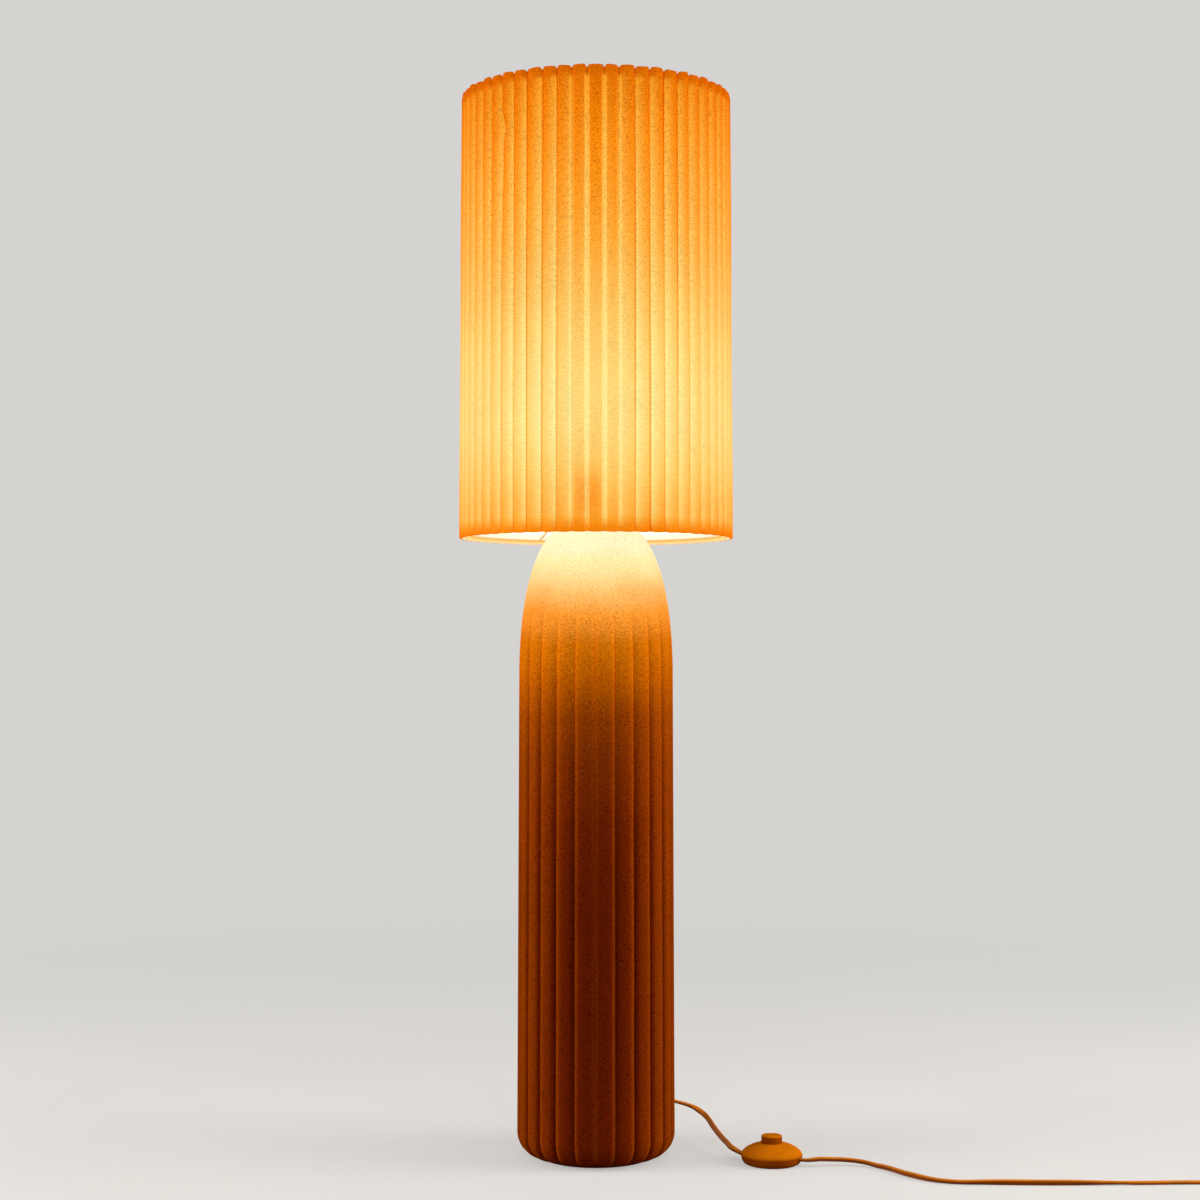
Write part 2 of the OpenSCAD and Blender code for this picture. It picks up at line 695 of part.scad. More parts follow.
module filaments() {
    low_z = bulb_z + bulb_h - 54 + 0.7;
    high_z = bulb_z + bulb_h - 20 - 0.7;
    color("gold") for (turn = [45:90:315])
        rod(concat(polar(9, turn), low_z), concat(polar(5, turn), high_z), 0.9);
}

// Screw cap with a rounded thread
module bulb_screw_cap() {
    r = bulb_cap_d / 2;
    depth = 0.7;
    turns = 4;
    root_z = 3;
    color("silver") turned(concat(
        [[r - 5.6, 0], [r - 4.8, 0], [r - depth, root_z - 1]],
        [for (i = [0:8 * turns]) [r - depth * (0.5 + 0.5 * cos(45 * i)),
            root_z + thread_pitch * i / 8]],
        [[r - depth / 2, root_z + thread_pitch * turns + 1], [r, bulb_cap_h],
         [neck_glass_r + moving_gap, bulb_cap_h], [neck_glass_r + moving_gap, bulb_cap_h - 6],
         [r - depth - 1.2, root_z + 1]]), bulb_cap_z);
}

module bulb_insulator() {
    r = bulb_cap_d / 2;
    color("black") turned([[0, 0], [5, 0], [r - 4.6, bulb_insulator_h - 0.6],
        [r - 4.6, bulb_insulator_h], [0, bulb_insulator_h]], bulb_z + bulb_tip_h);
}

module bulb_tip() {
    color("silver") turned([[0, 0], [2, 0.2], [4.4, 1.2], [4.6, bulb_tip_h], [0, bulb_tip_h]],
        bulb_z);
}

// Outline of the lower shell, made smaller by an inset
function bowl_outline(inset) =
    [[26 - inset * 0.3, inset], [28.4 - inset * 0.8, 1.2 + inset * 0.8],
     [30.4 - inset, 4 + inset * 0.4], [switch_r - inset, seam_z]];

module switch_base() {
    outer = bowl_outline(0);
    inner = bowl_outline(shell_t);
    color("darkorange") at_switch() difference() {
        union() {
            turned(concat([[0, 0]], outer, [for (i = [3:-1:0]) inner[i]], [[0, shell_t]]));
            translate([0, 0, shell_t]) cylinder(r = post_shoulder_r, h = post_shoulder_z - shell_t);
            cylinder(r = post_r, h = post_top_z);
            for (y = [-case_screw_y, case_screw_y]) translate([0, y, 0])
                cylinder(r = case_post_r, h = seam_z - 0.1);
            for (x = [-clamp_x, clamp_x]) translate([x - 2, -4, shell_t / 2])
                cube([4, 8, switch_cord_z - cord_t / 2 - shell_t / 2 - 0.1]);
        }
        for (side = [-1, 1]) translate([side * (switch_r - 3) - 5, -cord_w / 2 - 0.5,
            switch_cord_z - cord_t / 2 - 0.3]) cube([10, cord_w + 1, seam_z]);
        for (y = [-case_screw_y, case_screw_y]) translate([0, y, -past]) {
            cylinder(r = 3.2, h = past + 1.6);
            cylinder(r = 1.7, h = seam_z + 2 * past);
        }
    }
}

module switch_cover() {
    outer = dome_outline(switch_r, dome_h, button_hole_r);
    inner = dome_outline(switch_r - shell_t, dome_h - shell_t, button_hole_r);
    color("darkorange") at_switch() difference() {
        union() {
            turned(concat(outer, [for (i = [dome_steps:-1:0]) inner[i]]));
            for (y = [-case_screw_y, case_screw_y]) translate([0, y, seam_z])
                cylinder(r = case_post_r,
                    h = dome_z(case_screw_y + case_post_r, switch_r, dome_h) - seam_z - 0.3);
        }
        for (y = [-case_screw_y, case_screw_y]) translate([0, y, seam_z - past])
            cylinder(r = 1.45, h = past + 4);
    }
}

// Button with a flange that keeps it in the cover and a plunger round the middle post
module switch_button() {
    flange_z = dome_z(button_flange_r, switch_r - shell_t, dome_h - shell_t)
        - button_flange_t - 0.5;
    under = button_top_z - button_roof_t;
    low_z = shell_t + 0.4 + rotor_t + contact_t + 0.5 + button_travel;
    color("darkorange") at_switch() turned([
        [0, button_top_z - 0.5], [button_r - 3, button_top_z], [button_r - 0.8, button_top_z - 0.3],
        [button_r, button_top_z - 1.2], [button_r, flange_z + button_flange_t],
        [button_flange_r, flange_z + button_flange_t], [button_flange_r, flange_z],
        [button_r - button_wall_t, flange_z], [button_r - button_wall_t, under],
        [plunger_r, under], [plunger_r, low_z], [plunger_bore_r, low_z], [plunger_bore_r, under],
        [0, under]]);
}

// Compression spring between the shoulder of the post and the roof of the button
module button_spring() {
    low_z = post_shoulder_z + spring_wire_r + 0.02;
    high_z = button_top_z - button_roof_t - spring_wire_r - 0.02;
    steps = 10 * spring_turns;
    color("silver") at_switch() sweep([for (i = [0:steps]) let (p = polar(spring_r, 36 * i))
        [p[0], p[1], mix(low_z, high_z, i / steps)]], 2 * spring_wire_r, 2 * spring_wire_r,
        sides = 6);
}

// Notched rotor that turns an eighth of a turn with each press
module ratchet_rotor() {
    color("whitesmoke") at_switch() difference() {
        tube(rotor_r, post_shoulder_r + running_gap, rotor_t, shell_t + 0.4);
        for (i = [0:7]) rotate([0, 0, 45 * i]) translate([rotor_r + 0.3, 0, shell_t])
            cylinder(r = 1.2, h = rotor_t + past, $fn = 24);
    }
}

module moving_contact() {
    z = shell_t + 0.4 + rotor_t;
    color("gold") at_switch() {
        tube(rotor_r - 0.6, plunger_bore_r + 0.1, contact_t, z);
        for (turn = [0:90:270]) rotate([0, 0, turn]) translate([rotor_r - 1.5, -1.5, z])
            cube([contact_arm_r - rotor_r + 1.5, 3, contact_t]);
    }
}

module fixed_contacts() {
    z = shell_t + 0.4 + rotor_t + contact_t + loose_gap;
    reach = 3.5;
    color("gold") at_switch() for (side = [-1, 1])
        translate([side * (terminal_x - terminal_size[0] / 2 - reach / 2) - reach / 2,
            terminal_y - 1.5, z]) cube([reach, 3, contact_t]);
}

module terminal_blocks() {
    color("gold") at_switch() for (side = [-1, 1])
        translate([side * terminal_x, terminal_y, shell_t]) difference() {
            translate([-terminal_size[0] / 2, -terminal_size[1] / 2, 0]) cube(terminal_size);
            translate([0, 0, terminal_size[2] - 4])
                cylinder(r = 1.3, h = 4 + past, $fn = 24);
        }
}

module terminal_screws() {
    z = shell_t + terminal_size[2];
    color("silver") at_switch() for (side = [-1, 1])
        translate([side * terminal_x, terminal_y, z]) {
            cylinder(r = 2.1, h = 1.3, $fn = 24);
            translate([0, 0, -3.5]) cylinder(r = 1.2, h = 3.5 + 1, $fn = 24);
        }
}

module case_screws() {
    color("silver") at_switch() for (y = [-case_screw_y, case_screw_y]) translate([0, y, 0]) {
        translate([0, 0, 0.3]) cylinder(r = 2.9, h = 1.3, $fn = 32);
        translate([0, 0, 1]) cylinder(r = 1.4, h = seam_z + 2.5, $fn = 24);
    }
}

// Bridges on two legs that hold the cord down inside the switch
module cord_clamps() {
    z = switch_cord_z + cord_t / 2 + 0.1;
    color("whitesmoke") at_switch() for (x = [-clamp_x, clamp_x]) translate([x - 2, 0, 0]) {
        translate([0, -7, z]) cube([4, 14, 2]);
        for (y = [-7, 4.6]) translate([0, y, shell_t + 0.05]) cube([4, 2.4, z - shell_t + 1]);
    }
}

// Insulated cores from the two cords to the terminals, and the core that runs straight through
module switch_leads() {
    core = 1.8;
    face_y = terminal_y - terminal_size[1] / 2 - 0.1;
    color("saddlebrown") at_switch() {
        for (side = [-1, 1]) sweep([
            [side * cord_end_x, 1.4, switch_cord_z], [side * (cord_end_x - 0.8), 1.4, switch_cord_z],
            [side * (cord_end_x - 2.4), 2.6, 6],
            [side * terminal_x, face_y - 1.6, 5], [side * terminal_x, face_y, 5]], core, core);
        sweep([[-cord_end_x, -1.4, switch_cord_z], [0.8 - cord_end_x, -1.4, switch_cord_z],
            [-16.5, -5, 5.5], [-14, -10, 4.5], [-9, -14, 4], [0, -15, 4], [9, -14, 4],
            [14, -10, 4.5], [16.5, -5, 5.5], [cord_end_x - 0.8, -1.4, switch_cord_z],
            [cord_end_x, -1.4, switch_cord_z]], core, core);
    }
}

// The cord that hangs from the strain relief and comes down to the foot switch
module cord_to_switch() {
    color("darkorange") sweep(concat([concat(polar(relief_reach, outlet_turn), outlet_z),
        concat(polar(relief_reach + 1, outlet_turn), outlet_z)],
        route_to_switch, [switch_point(-switch_r, 0, switch_cord_z),
        switch_point(-switch_r + 6, 0, switch_cord_z), switch_point(-cord_end_x, 0, switch_cord_z)]),
        cord_w, cord_t);
}

// The cord that lies on the floor from the foot switch to the coil
module cord_from_switch() {
    color("darkorange") sweep(concat([switch_point(cord_end_x, 0, switch_cord_z),
        switch_point(switch_r - 6, 0, switch_cord_z), switch_point(switch_r, 0, switch_cord_z)],
        route_from_switch), cord_w, cord_t);
}

module cord_coil() {
    edge = 1;
    color("darkorange") translate([coil_x, coil_y, 0]) turned([
        [coil_in_r, edge], [coil_in_r + edge, 0], [coil_out_r - edge, 0], [coil_out_r, edge],
        [coil_out_r, coil_h - edge], [coil_out_r - edge, coil_h], [coil_in_r + edge, coil_h],
        [coil_in_r, coil_h - edge]]);
}

// The last of the cord, from the coil to the plug's strain relief
module cord_to_plug() {
    start_y = coil_y + sqrt(pow(coil_out_r, 2) - pow(coil_out_r - cord_w, 2)) + 0.3;
    end_y = plug_y - plug_relief_l;
    color("darkorange") sweep([for (share = [0:0.25:1])
        [lead_x, mix(start_y, end_y, share), mix(lead_z, plug_z, min(1, share / 0.75))]],
        cord_w, cord_t);
}

// Flat two-pin plug with its own tapered strain relief, lying with its pins to the back
module plug_body() {
    color("darkorange") translate([lead_x, plug_y, plug_z]) difference() {
        union() {
            intersection() {
                translate([0, 0, -plug_t / 2]) linear_extrude(plug_t) polygon([
                    [-4, 0], [4, 0], [plug_w / 2 - 3, plug_l * 0.35], [plug_w / 2, plug_l * 0.6],
                    [plug_w / 2, plug_l], [-plug_w / 2, plug_l], [-plug_w / 2, plug_l * 0.6],
                    [3 - plug_w / 2, plug_l * 0.35]]);
                rotate([90, 0, 90]) translate([0, 0, -plug_w]) linear_extrude(2 * plug_w)
                    polygon([[0, -4], [plug_l * 0.4, -plug_t / 2], [plug_l, -plug_t / 2],
                        [plug_l, plug_t / 2], [plug_l * 0.4, plug_t / 2], [0, 4]]);
            }
            rotate([90, 0, 0]) cylinder(r1 = 4, r2 = cord_w / 2 + 0.3, h = plug_relief_l);
        }
        for (x = [-pin_pitch / 2, pin_pitch / 2]) translate([x, plug_l + past, 0])
            rotate([90, 0, 0]) cylinder(r = pin_d / 2 - 0.4, h = 9 + past, $fn = 32);
    }
}

module plug_pins() {
    color("silver") translate([lead_x, plug_y + plug_l, plug_z])
        for (x = [-pin_pitch / 2, pin_pitch / 2]) translate([x, 0, 0]) {
            rotate([-90, 0, 0]) cylinder(r = pin_d / 2, h = pin_l, $fn = 32);
            translate([0, past, 0]) rotate([90, 0, 0])
                cylinder(r = pin_d / 2 - 0.45, h = 9.8, $fn = 32);
        }
}

felt_ring();
bottom_plate();
ceramic_base();
strain_relief();
neck_gasket();
clamp_washer();
lower_nut();
nipple();
neck_cap();
upper_nut();
holder_cap();
grub_screw();
holder_shell();
holder_insert();
holder_sleeve();
centre_contact();
holder_screws();
internal_cord();
shade_clamp_ring();
shade_frame();
shade_top_ring();
shade_liner();
shade_cover();
shade_top_binding();
shade_bottom_binding();
bulb_glass();
bulb_stem();
filament_frame();
filaments();
bulb_screw_cap();
bulb_insulator();
bulb_tip();
switch_base();
switch_cover();
switch_button();
button_spring();
ratchet_rotor();
moving_contact();
fixed_contacts();
terminal_blocks();
terminal_screws();
case_screws();
cord_clamps();
switch_leads();
cord_to_switch();
cord_from_switch();
cord_coil();
cord_to_plug();
plug_body();
plug_pins();
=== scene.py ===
"""Looks of the ribbed ceramic floor lamp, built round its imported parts.

Sizes are in metres, and angles in degrees where nothing else is said.
"""

import logging
import math
from abc import ABC, abstractmethod
from collections.abc import Mapping, Sequence
from dataclasses import dataclass, field
from enum import Enum

import bpy
import numpy as np
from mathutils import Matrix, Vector


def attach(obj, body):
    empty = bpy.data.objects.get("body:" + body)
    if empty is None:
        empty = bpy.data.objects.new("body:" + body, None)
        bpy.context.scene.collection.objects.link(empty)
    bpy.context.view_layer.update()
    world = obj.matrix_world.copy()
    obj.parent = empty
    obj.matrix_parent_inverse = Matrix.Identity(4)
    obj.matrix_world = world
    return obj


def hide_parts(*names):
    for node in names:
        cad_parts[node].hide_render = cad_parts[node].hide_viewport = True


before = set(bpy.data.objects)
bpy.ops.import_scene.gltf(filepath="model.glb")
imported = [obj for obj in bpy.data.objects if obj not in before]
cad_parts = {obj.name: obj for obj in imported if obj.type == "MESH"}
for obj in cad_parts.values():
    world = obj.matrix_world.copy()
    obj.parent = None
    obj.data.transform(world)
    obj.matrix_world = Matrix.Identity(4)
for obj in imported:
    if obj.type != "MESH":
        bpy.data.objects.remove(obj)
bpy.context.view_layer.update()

LOG = logging.getLogger("lamp")
ROOT_BODY = "lamp"
SHADE_BODY = "shade"

Point = tuple[float, float, float]
Colour = tuple[float, float, float]
Stops = tuple[tuple[float, Colour], ...]


class Op(Enum):
    """Sums that a Math node does."""

    ADD = "ADD"
    SUBTRACT = "SUBTRACT"
    MULTIPLY = "MULTIPLY"
    DIVIDE = "DIVIDE"
    POWER = "POWER"
    MINIMUM = "MINIMUM"
    MAXIMUM = "MAXIMUM"
    FRACTION = "FRACT"
    ABSOLUTE = "ABSOLUTE"
    SINE = "SINE"
    ANGLE = "ARCTAN2"


class Coordinates(Enum):
    """What a texture's place is counted in."""

    OBJECT = "Object"
    NORMAL = "Normal"
    UV = "UV"


def linear(red: int, green: int, blue: int) -> Colour:
    """Turns a colour as seen on a screen into the linear values that a shader takes.

    Args:
        red: Red, from 0 to 255.
        green: Green, from 0 to 255.
        blue: Blue, from 0 to 255.

    Returns:
        The linear colour.
    """
    def one(value: int) -> float:
        """Returns one of the three values, linear."""
        share = value / 255
        return share / 12.92 if share <= 0.04045 else ((share + 0.055) / 1.055) ** 2.4

    return one(red), one(green), one(blue)


def beyond(stops: Stops, base: Colour, light: float) -> Stops:
    """Returns what the lamp's light adds over what a surface reflects.

    Args:
        stops: Heights, each with the colour that the lit surface shows, from 0 to 255.
        base: The surface's own colour, linear.
        light: How strongly the room lights it.

    Returns:
        The heights, each with the linear colour that is added.
    """
    rows = []
    for height, shown in stops:
        total = linear(*shown)
        rows.append((height, tuple(max(0.0, t - b * light) for t, b in zip(total, base))))
    return tuple(rows)


def eased(value: float, start: float, end: float) -> float:
    """Returns 0 up to start, 1 from end on and a smooth change between them."""
    share = min(1.0, max(0.0, (value - start) / (end - start)))
    return share * share * (3 - 2 * share)


def squared(wave: np.ndarray, power: float) -> np.ndarray:
    """Returns a sine or cosine that is drawn out towards a square or a flat."""
    return np.sign(wave) * np.abs(wave) ** power


def circle(count: int) -> np.ndarray:
    """Returns angles that lie evenly round a circle, in radians."""
    return np.linspace(0, 2 * np.pi, count, endpoint=False)


def hoop(radius: np.ndarray | float, turn: np.ndarray, height: np.ndarray | float) -> np.ndarray:
    """Returns points round the lamp's axis.

    Args:
        radius: Their distance from the axis.
        turn: Their angles round it, in radians.
        height: Their height above the floor.

    Returns:
        The points, one in a row.
    """
    radius, turn, height = np.broadcast_arrays(radius, turn, height)
    return np.stack([radius * np.cos(turn), radius * np.sin(turn), height], axis=-1)


class Value:
    """A shader socket that adds a node for each sum done with it."""

    def __init__(self, graph: "Graph", socket: bpy.types.NodeSocket) -> None:
        """Wraps a socket.

        Args:
            graph: The graph that the socket is in.
            socket: The socket that gives the value.
        """
        self.graph = graph
        self.socket = socket

    def _math(self, op: Op, *terms: "Term") -> "Value":
        """Adds the node of one sum."""
        return self.graph.add("ShaderNodeMath", dict(enumerate(terms)), operation=op.value)

    def __add__(self, other: "Term") -> "Value":
        """Returns the sum."""
        return self._math(Op.ADD, self, other)

    def __radd__(self, other: "Term") -> "Value":
        """Returns the sum with this on the right."""
        return self._math(Op.ADD, other, self)

    def __sub__(self, other: "Term") -> "Value":
        """Returns the difference."""
        return self._math(Op.SUBTRACT, self, other)

    def __rsub__(self, other: "Term") -> "Value":
        """Returns the difference with this on the right."""
        return self._math(Op.SUBTRACT, other, self)

    def __mul__(self, other: "Term") -> "Value":
        """Returns the product."""
        return self._math(Op.MULTIPLY, self, other)

    def __rmul__(self, other: "Term") -> "Value":
        """Returns the product with this on the right."""
        return self._math(Op.MULTIPLY, other, self)

    def __truediv__(self, other: "Term") -> "Value":
        """Returns the quotient."""
        return self._math(Op.DIVIDE, self, other)

    def __pow__(self, other: "Term") -> "Value":
        """Returns the power."""
        return self._math(Op.POWER, self, other)

    def __abs__(self) -> "Value":
        """Returns the value without its sign."""
        return self._math(Op.ABSOLUTE, self)

    def fraction(self) -> "Value":
        """Returns the part after the decimal point."""
        return self._math(Op.FRACTION, self)

    def sine(self) -> "Value":
        """Returns the sine."""
        return self._math(Op.SINE, self)

    def at_most(self, other: "Term") -> "Value":
        """Returns the smaller of this and another value."""
        return self._math(Op.MINIMUM, self, other)

    def at_least(self, other: "Term") -> "Value":
        """Returns the larger of this and another value."""
        return self._math(Op.MAXIMUM, self, other)

    def within(self, low: float, high: float) -> "Value":
        """Returns the value kept between two others."""
        return self.at_most(high).at_least(low)

    def fades(self, low: float, high: float) -> "Value":
        """Returns 1 up to low, 0 from high on and a smooth change between them."""
        return self.steps(low, high, 1.0, 0.0)

    def steps(self, low: "Term", high: "Term", start: float = 0.0,
              end: float = 1.0) -> "Value":
        """Maps a range smoothly on to another and stays at its ends outside it.

        Args:
            low: The value that gives start.
            high: The value that gives end.
            start: The result at low.
            end: The result at high.

        Returns:
            The mapped value.
        """
        given = {"Value": self, "From Min": low, "From Max": high, "To Min": start, "To Max": end}
        return self.graph.add("ShaderNodeMapRange", given, interpolation_type="SMOOTHSTEP")


Term = Value | float | Sequence[float]


class Graph:
    """The node graph of a material or of the world."""

    def __init__(self, owner: bpy.types.Material | bpy.types.World) -> None:
        """Starts on a graph.

        Args:
            owner: The material or world.
        """
        owner.use_nodes = True
        self.owner = owner
        self.nodes = owner.node_tree.nodes
        self.links = owner.node_tree.links
        self.shader = self.nodes.get("Principled BSDF")

    def seen(self) -> Value:
        """Returns 1 for what the camera sees straight, in a gloss or through glass."""
        rays = self.nodes.new("ShaderNodeLightPath")
        names = ("Is Camera Ray", "Is Glossy Ray", "Is Transmission Ray")
        straight, gloss, through = (Value(self, rays.outputs[name]) for name in names)
        return straight.at_least(gloss).at_least(through)

    def add(self, kind: str, inputs: Mapping[int | str, Term] | None = None,
            output: int | str = 0, **settings: object) -> Value:
        """Adds a node of any kind.

        Args:
            kind: The node's type.
            inputs: Values for its inputs, by name or number.
            output: The output that is used.
            **settings: Properties of the node.

        Returns:
            The chosen output.
        """
        node = self.nodes.new(kind)
        for key, setting in settings.items():
            setattr(node, key, setting)
        for key, term in (inputs or {}).items():
            self.join(term, node.inputs[key])
        return Value(self, node.outputs[output])

    def join(self, term: Term, socket: bpy.types.NodeSocket) -> None:
        """Feeds a value or a constant into a socket.

        Args:
            term: The value or constant.
            socket: The socket that takes it.
        """
        if isinstance(term, Value):
            self.links.new(term.socket, socket)
        else:
            socket.default_value = term

    def put(self, **inputs: Term) -> None:
        """Feeds the shader; a double underscore in a name stands for a space.

        Args:
            **inputs: Values for the shader's inputs.
        """
        for key, term in inputs.items():
            if isinstance(term, tuple) and len(term) == 3:
                term = (*term, 1.0)
            self.join(term, self.shader.inputs[key.replace("__", " ")])

    def place(self, kind: Coordinates = Coordinates.OBJECT) -> Value:
        """Returns the place on the surface as a vector."""
        return self.add("ShaderNodeTexCoord", output=kind.value)

    def part(self, vector: Value, axis: int) -> Value:
        """Returns one component of a vector."""
        return self.add("ShaderNodeSeparateXYZ", {0: vector}, output=axis)

    def parts(self, vector: Value) -> tuple[Value, ...]:
        """Returns the three components of a vector."""
        return tuple(self.part(vector, axis) for axis in range(3))

    def hand(self) -> Value:
        """Returns the place across a rib or a pleat, from -1 to 1."""
        return self.part(self.place(Coordinates.UV), 0).fraction() * 2.0 - 1.0

    def around(self, x: Value, y: Value) -> Value:
        """Returns the angle round the lamp's axis, in radians."""
        return self.add("ShaderNodeMath", {0: y, 1: x}, operation=Op.ANGLE.value)

    def lean(self, x: Value, y: Value) -> Value:
        """Returns -1 and 1 on the two sides that are half turned away, and 0 on the front."""
        return (x * y * -3.2 / (x * x + y * y)).within(-1.0, 1.0)

    def vector(self, x: Term, y: Term, z: Term) -> Value:
        """Returns a vector of three values."""
        return self.add("ShaderNodeCombineXYZ", {0: x, 1: y, 2: z})

    def noise(self, place: Value, scale: float, detail: float = 3.0, rough: float = 0.55) -> Value:
        """Returns a noise from 0 to 1."""
        given = {"Vector": place, "Scale": scale, "Detail": detail, "Roughness": rough}
        return self.add("ShaderNodeTexNoise", given)

    def specks(self, place: Value, scale: float, size: float, share: float) -> Value:
        """Returns small round specks as 1 on 0.

        Args:
            place: Where the pattern is looked up.
            scale: Cells per metre.
            size: Radius of a speck as a share of its cell.
            share: Share of the cells that hold a speck.

        Returns:
            The specks.
        """
        cell = self.nodes.new("ShaderNodeTexVoronoi")
        self.join(place, cell.inputs["Vector"])
        cell.inputs["Scale"].default_value = scale
        distance = Value(self, cell.outputs["Distance"])
        pick = self.part(Value(self, cell.outputs["Color"]), 0)
        reach = pick.steps(1 - share, 1.0, 0.0, size)
        return (reach - distance).steps(0.0, size * 0.35)

    def mix(self, a: Term, b: Term, factor: Term) -> Value:
        """Mixes two colours.

        Args:
            a: The colour where the factor is 0.
            b: The colour where it is 1.
            factor: How far to go from the first to the second.

        Returns:
            The colour between them.
        """
        colours = [(*c, 1.0) if isinstance(c, tuple) else c for c in (a, b)]
        given = {0: factor, 6: colours[0], 7: colours[1]}
        return self.add("ShaderNodeMix", given, output=2, data_type="RGBA")

    def scaled(self, colour: Term, factor: Term) -> Value:
        """Makes a colour lighter or darker.

        Args:
            colour: The colour.
            factor: The value that it is multiplied by.

        Returns:
            The new colour.
        """
        if isinstance(colour, tuple):
            colour = self.mix(colour, colour, 0.0)
        given = {0: colour, "Scale": factor}
        return self.add("ShaderNodeVectorMath", given, operation="SCALE")

    def tinted(self, colour: Value, tint: Colour) -> Value:
        """Returns a colour times another."""
        return self.add("ShaderNodeVectorMath", {0: colour, 1: tint}, operation="MULTIPLY")

    def ramp(self, value: Value, stops: Stops) -> Value:
        """Returns a colour looked up along stops.

        Args:
            value: The value that is looked up.
            stops: Values from low to high, each with its colour.

        Returns:
            The colour.
        """
        low, high = stops[0][0], stops[-1][0]
        node = self.nodes.new("ShaderNodeValToRGB")
        self.join((value - low) / (high - low), node.inputs[0])
        band = node.color_ramp
        while len(band.elements) < len(stops):
            band.elements.new(0.5)
        for element, (place, colour) in zip(band.elements, stops):
            element.position = (place - low) / (high - low)
            element.color = (*colour, 1.0)
        return Value(self, node.outputs[0])

    def bump(self, height: Value, distance: float, strength: float = 1.0) -> Value:
        """Returns a normal that is raised by a height."""
        given = {"Height": height, "Distance": distance, "Strength": strength}
        return self.add("ShaderNodeBump", given)


@dataclass(frozen=True)
class Finish(ABC):
    """How a kind of surface looks."""

    name: str

    @abstractmethod
    def paint(self, graph: Graph) -> None:
        """Fills a material's graph.

        Args:
            graph: The graph to fill.
        """

    def material(self) -> bpy.types.Material:
        """Returns this finish's material, made once."""
        made = bpy.data.materials.get(self.name)
        if made is None:
            made = bpy.data.materials.new(self.name)
            self.paint(Graph(made))
        return made


@dataclass(frozen=True)
class Moulded(Finish):
    """Plastic or rubber from a mould, with a fine grain and slight mottling."""

    colour: Colour
    roughness: float = 0.45
    grain: float = 0.00003
    glow: Colour = (0.0, 0.0, 0.0)
    gloss: float = 0.5
    underside_shade: float = 1.0

    def paint(self, graph: Graph) -> None:
        """Fills the graph with a mottled colour, painted shade on its undersides and a fine grain.

        Args:
            graph: The graph to fill.
        """
        place = graph.place()
        cloud = graph.noise(place, 45.0)
        grain = graph.noise(place, 2600.0, 2.0)
        tone = cloud.steps(0.3, 0.7, 0.9, 1.08)
        colour: Term = self.colour
        # Painted shade: the colour turns darker and redder where the surface faces down.
        if self.underside_shade < 1.0:
            upward = graph.part(graph.place(Coordinates.NORMAL), 2)
            red, green, blue = self.colour
            deep = (red * self.underside_shade, green * self.underside_shade ** 1.5, blue * self.underside_shade ** 2)
            colour = graph.mix(deep, colour, upward.steps(-0.15, 0.75))
        graph.put(
            Base__Color=graph.scaled(colour, tone),
            Roughness=cloud.steps(0.2, 0.8, self.roughness - 0.05, self.roughness + 0.07),
            Specular__IOR__Level=self.gloss, Normal=graph.bump(grain, self.grain))
        if any(self.glow):
            graph.put(Emission__Color=graph.scaled(self.glow, tone), Emission__Strength=1.0)


@dataclass(frozen=True)
class Metal(Finish):
    """Metal with fine turning or drawing marks."""

    colour: Colour
    roughness: float = 0.32

    def paint(self, graph: Graph) -> None:
        """Fills the graph with marks along Z and a slight tarnish.

        Args:
            graph: The graph to fill.
        """
        place = graph.place()
        x, y, z = graph.parts(place)
        marks = graph.noise(graph.vector(x * 60.0, y * 60.0, z * 4200.0), 1.0, 2.0)
        tarnish = graph.noise(place, 160.0)
        graph.put(
            Base__Color=graph.scaled(self.colour, tarnish.steps(0.3, 0.8, 0.86, 1.05)),
            Metallic=1.0,
            Roughness=marks.steps(0.3, 0.7, self.roughness - 0.07, self.roughness + 0.1),
            Normal=graph.bump(marks, 0.00002))


@dataclass(frozen=True)
class Enamel(Finish):
    """Paint on wire or sheet metal, with slight runs."""

    colour: Colour
    glow: Colour = (0.0, 0.0, 0.0)

    def paint(self, graph: Graph) -> None:
        """Fills the graph with a coated colour and any glow, which is painted light.

        Args:
            graph: The graph to fill.
        """
        place = graph.place()
        orange_peel = graph.noise(place, 700.0, 2.0)
        dust = graph.noise(place, 60.0)
        graph.put(
            Base__Color=graph.scaled(self.colour, dust.steps(0.3, 0.7, 0.9, 1.04)),
            Roughness=dust.steps(0.2, 0.8, 0.28, 0.42), Coat__Weight=0.3,
            Normal=graph.bump(orange_peel, 0.00004))
        # A glow is painted light; the shade's wires get the bulb's light this way.
        if any(self.glow):
            graph.put(Emission__Color=self.glow, Emission__Strength=1.0)


@dataclass(frozen=True)
class Felt(Finish):
    """Pressed felt with a tangle of fibres."""

    colour: Colour

    def paint(self, graph: Graph) -> None:
        """Fills the graph with fibres.

        Args:
            graph: The graph to fill.
        """
        place = graph.place()
        fibres = graph.noise(place, 1800.0, 5.0, 0.7)
        graph.put(
            Base__Color=graph.scaled(self.colour, fibres.steps(0.3, 0.7, 0.6, 1.3)),
            Roughness=0.95, Sheen__Weight=0.4, Normal=graph.bump(fibres, 0.0003))


@dataclass(frozen=True)
class Frosted(Finish):
    """Frosted glass that a lit filament fills with light."""

    glow: Colour
    strength: float = 3.0
    neck: tuple[float, float] = (0.71, 0.75)

    def paint(self, graph: Graph) -> None:
        """Fills the graph with an even glow and a fine etch.

        Args:
            graph: The graph to fill.
        """
        place = graph.place()
        height = graph.part(place, 2)
        etch = graph.noise(place, 3000.0, 2.0)
        graph.put(
            Base__Color=(0.9, 0.86, 0.78), Roughness=0.35, Coat__Weight=0.4,
            Emission__Color=graph.scaled(self.glow, height.steps(*self.neck, 0.35, 1.0)),
            Emission__Strength=self.strength, Normal=graph.bump(etch, 0.00002))


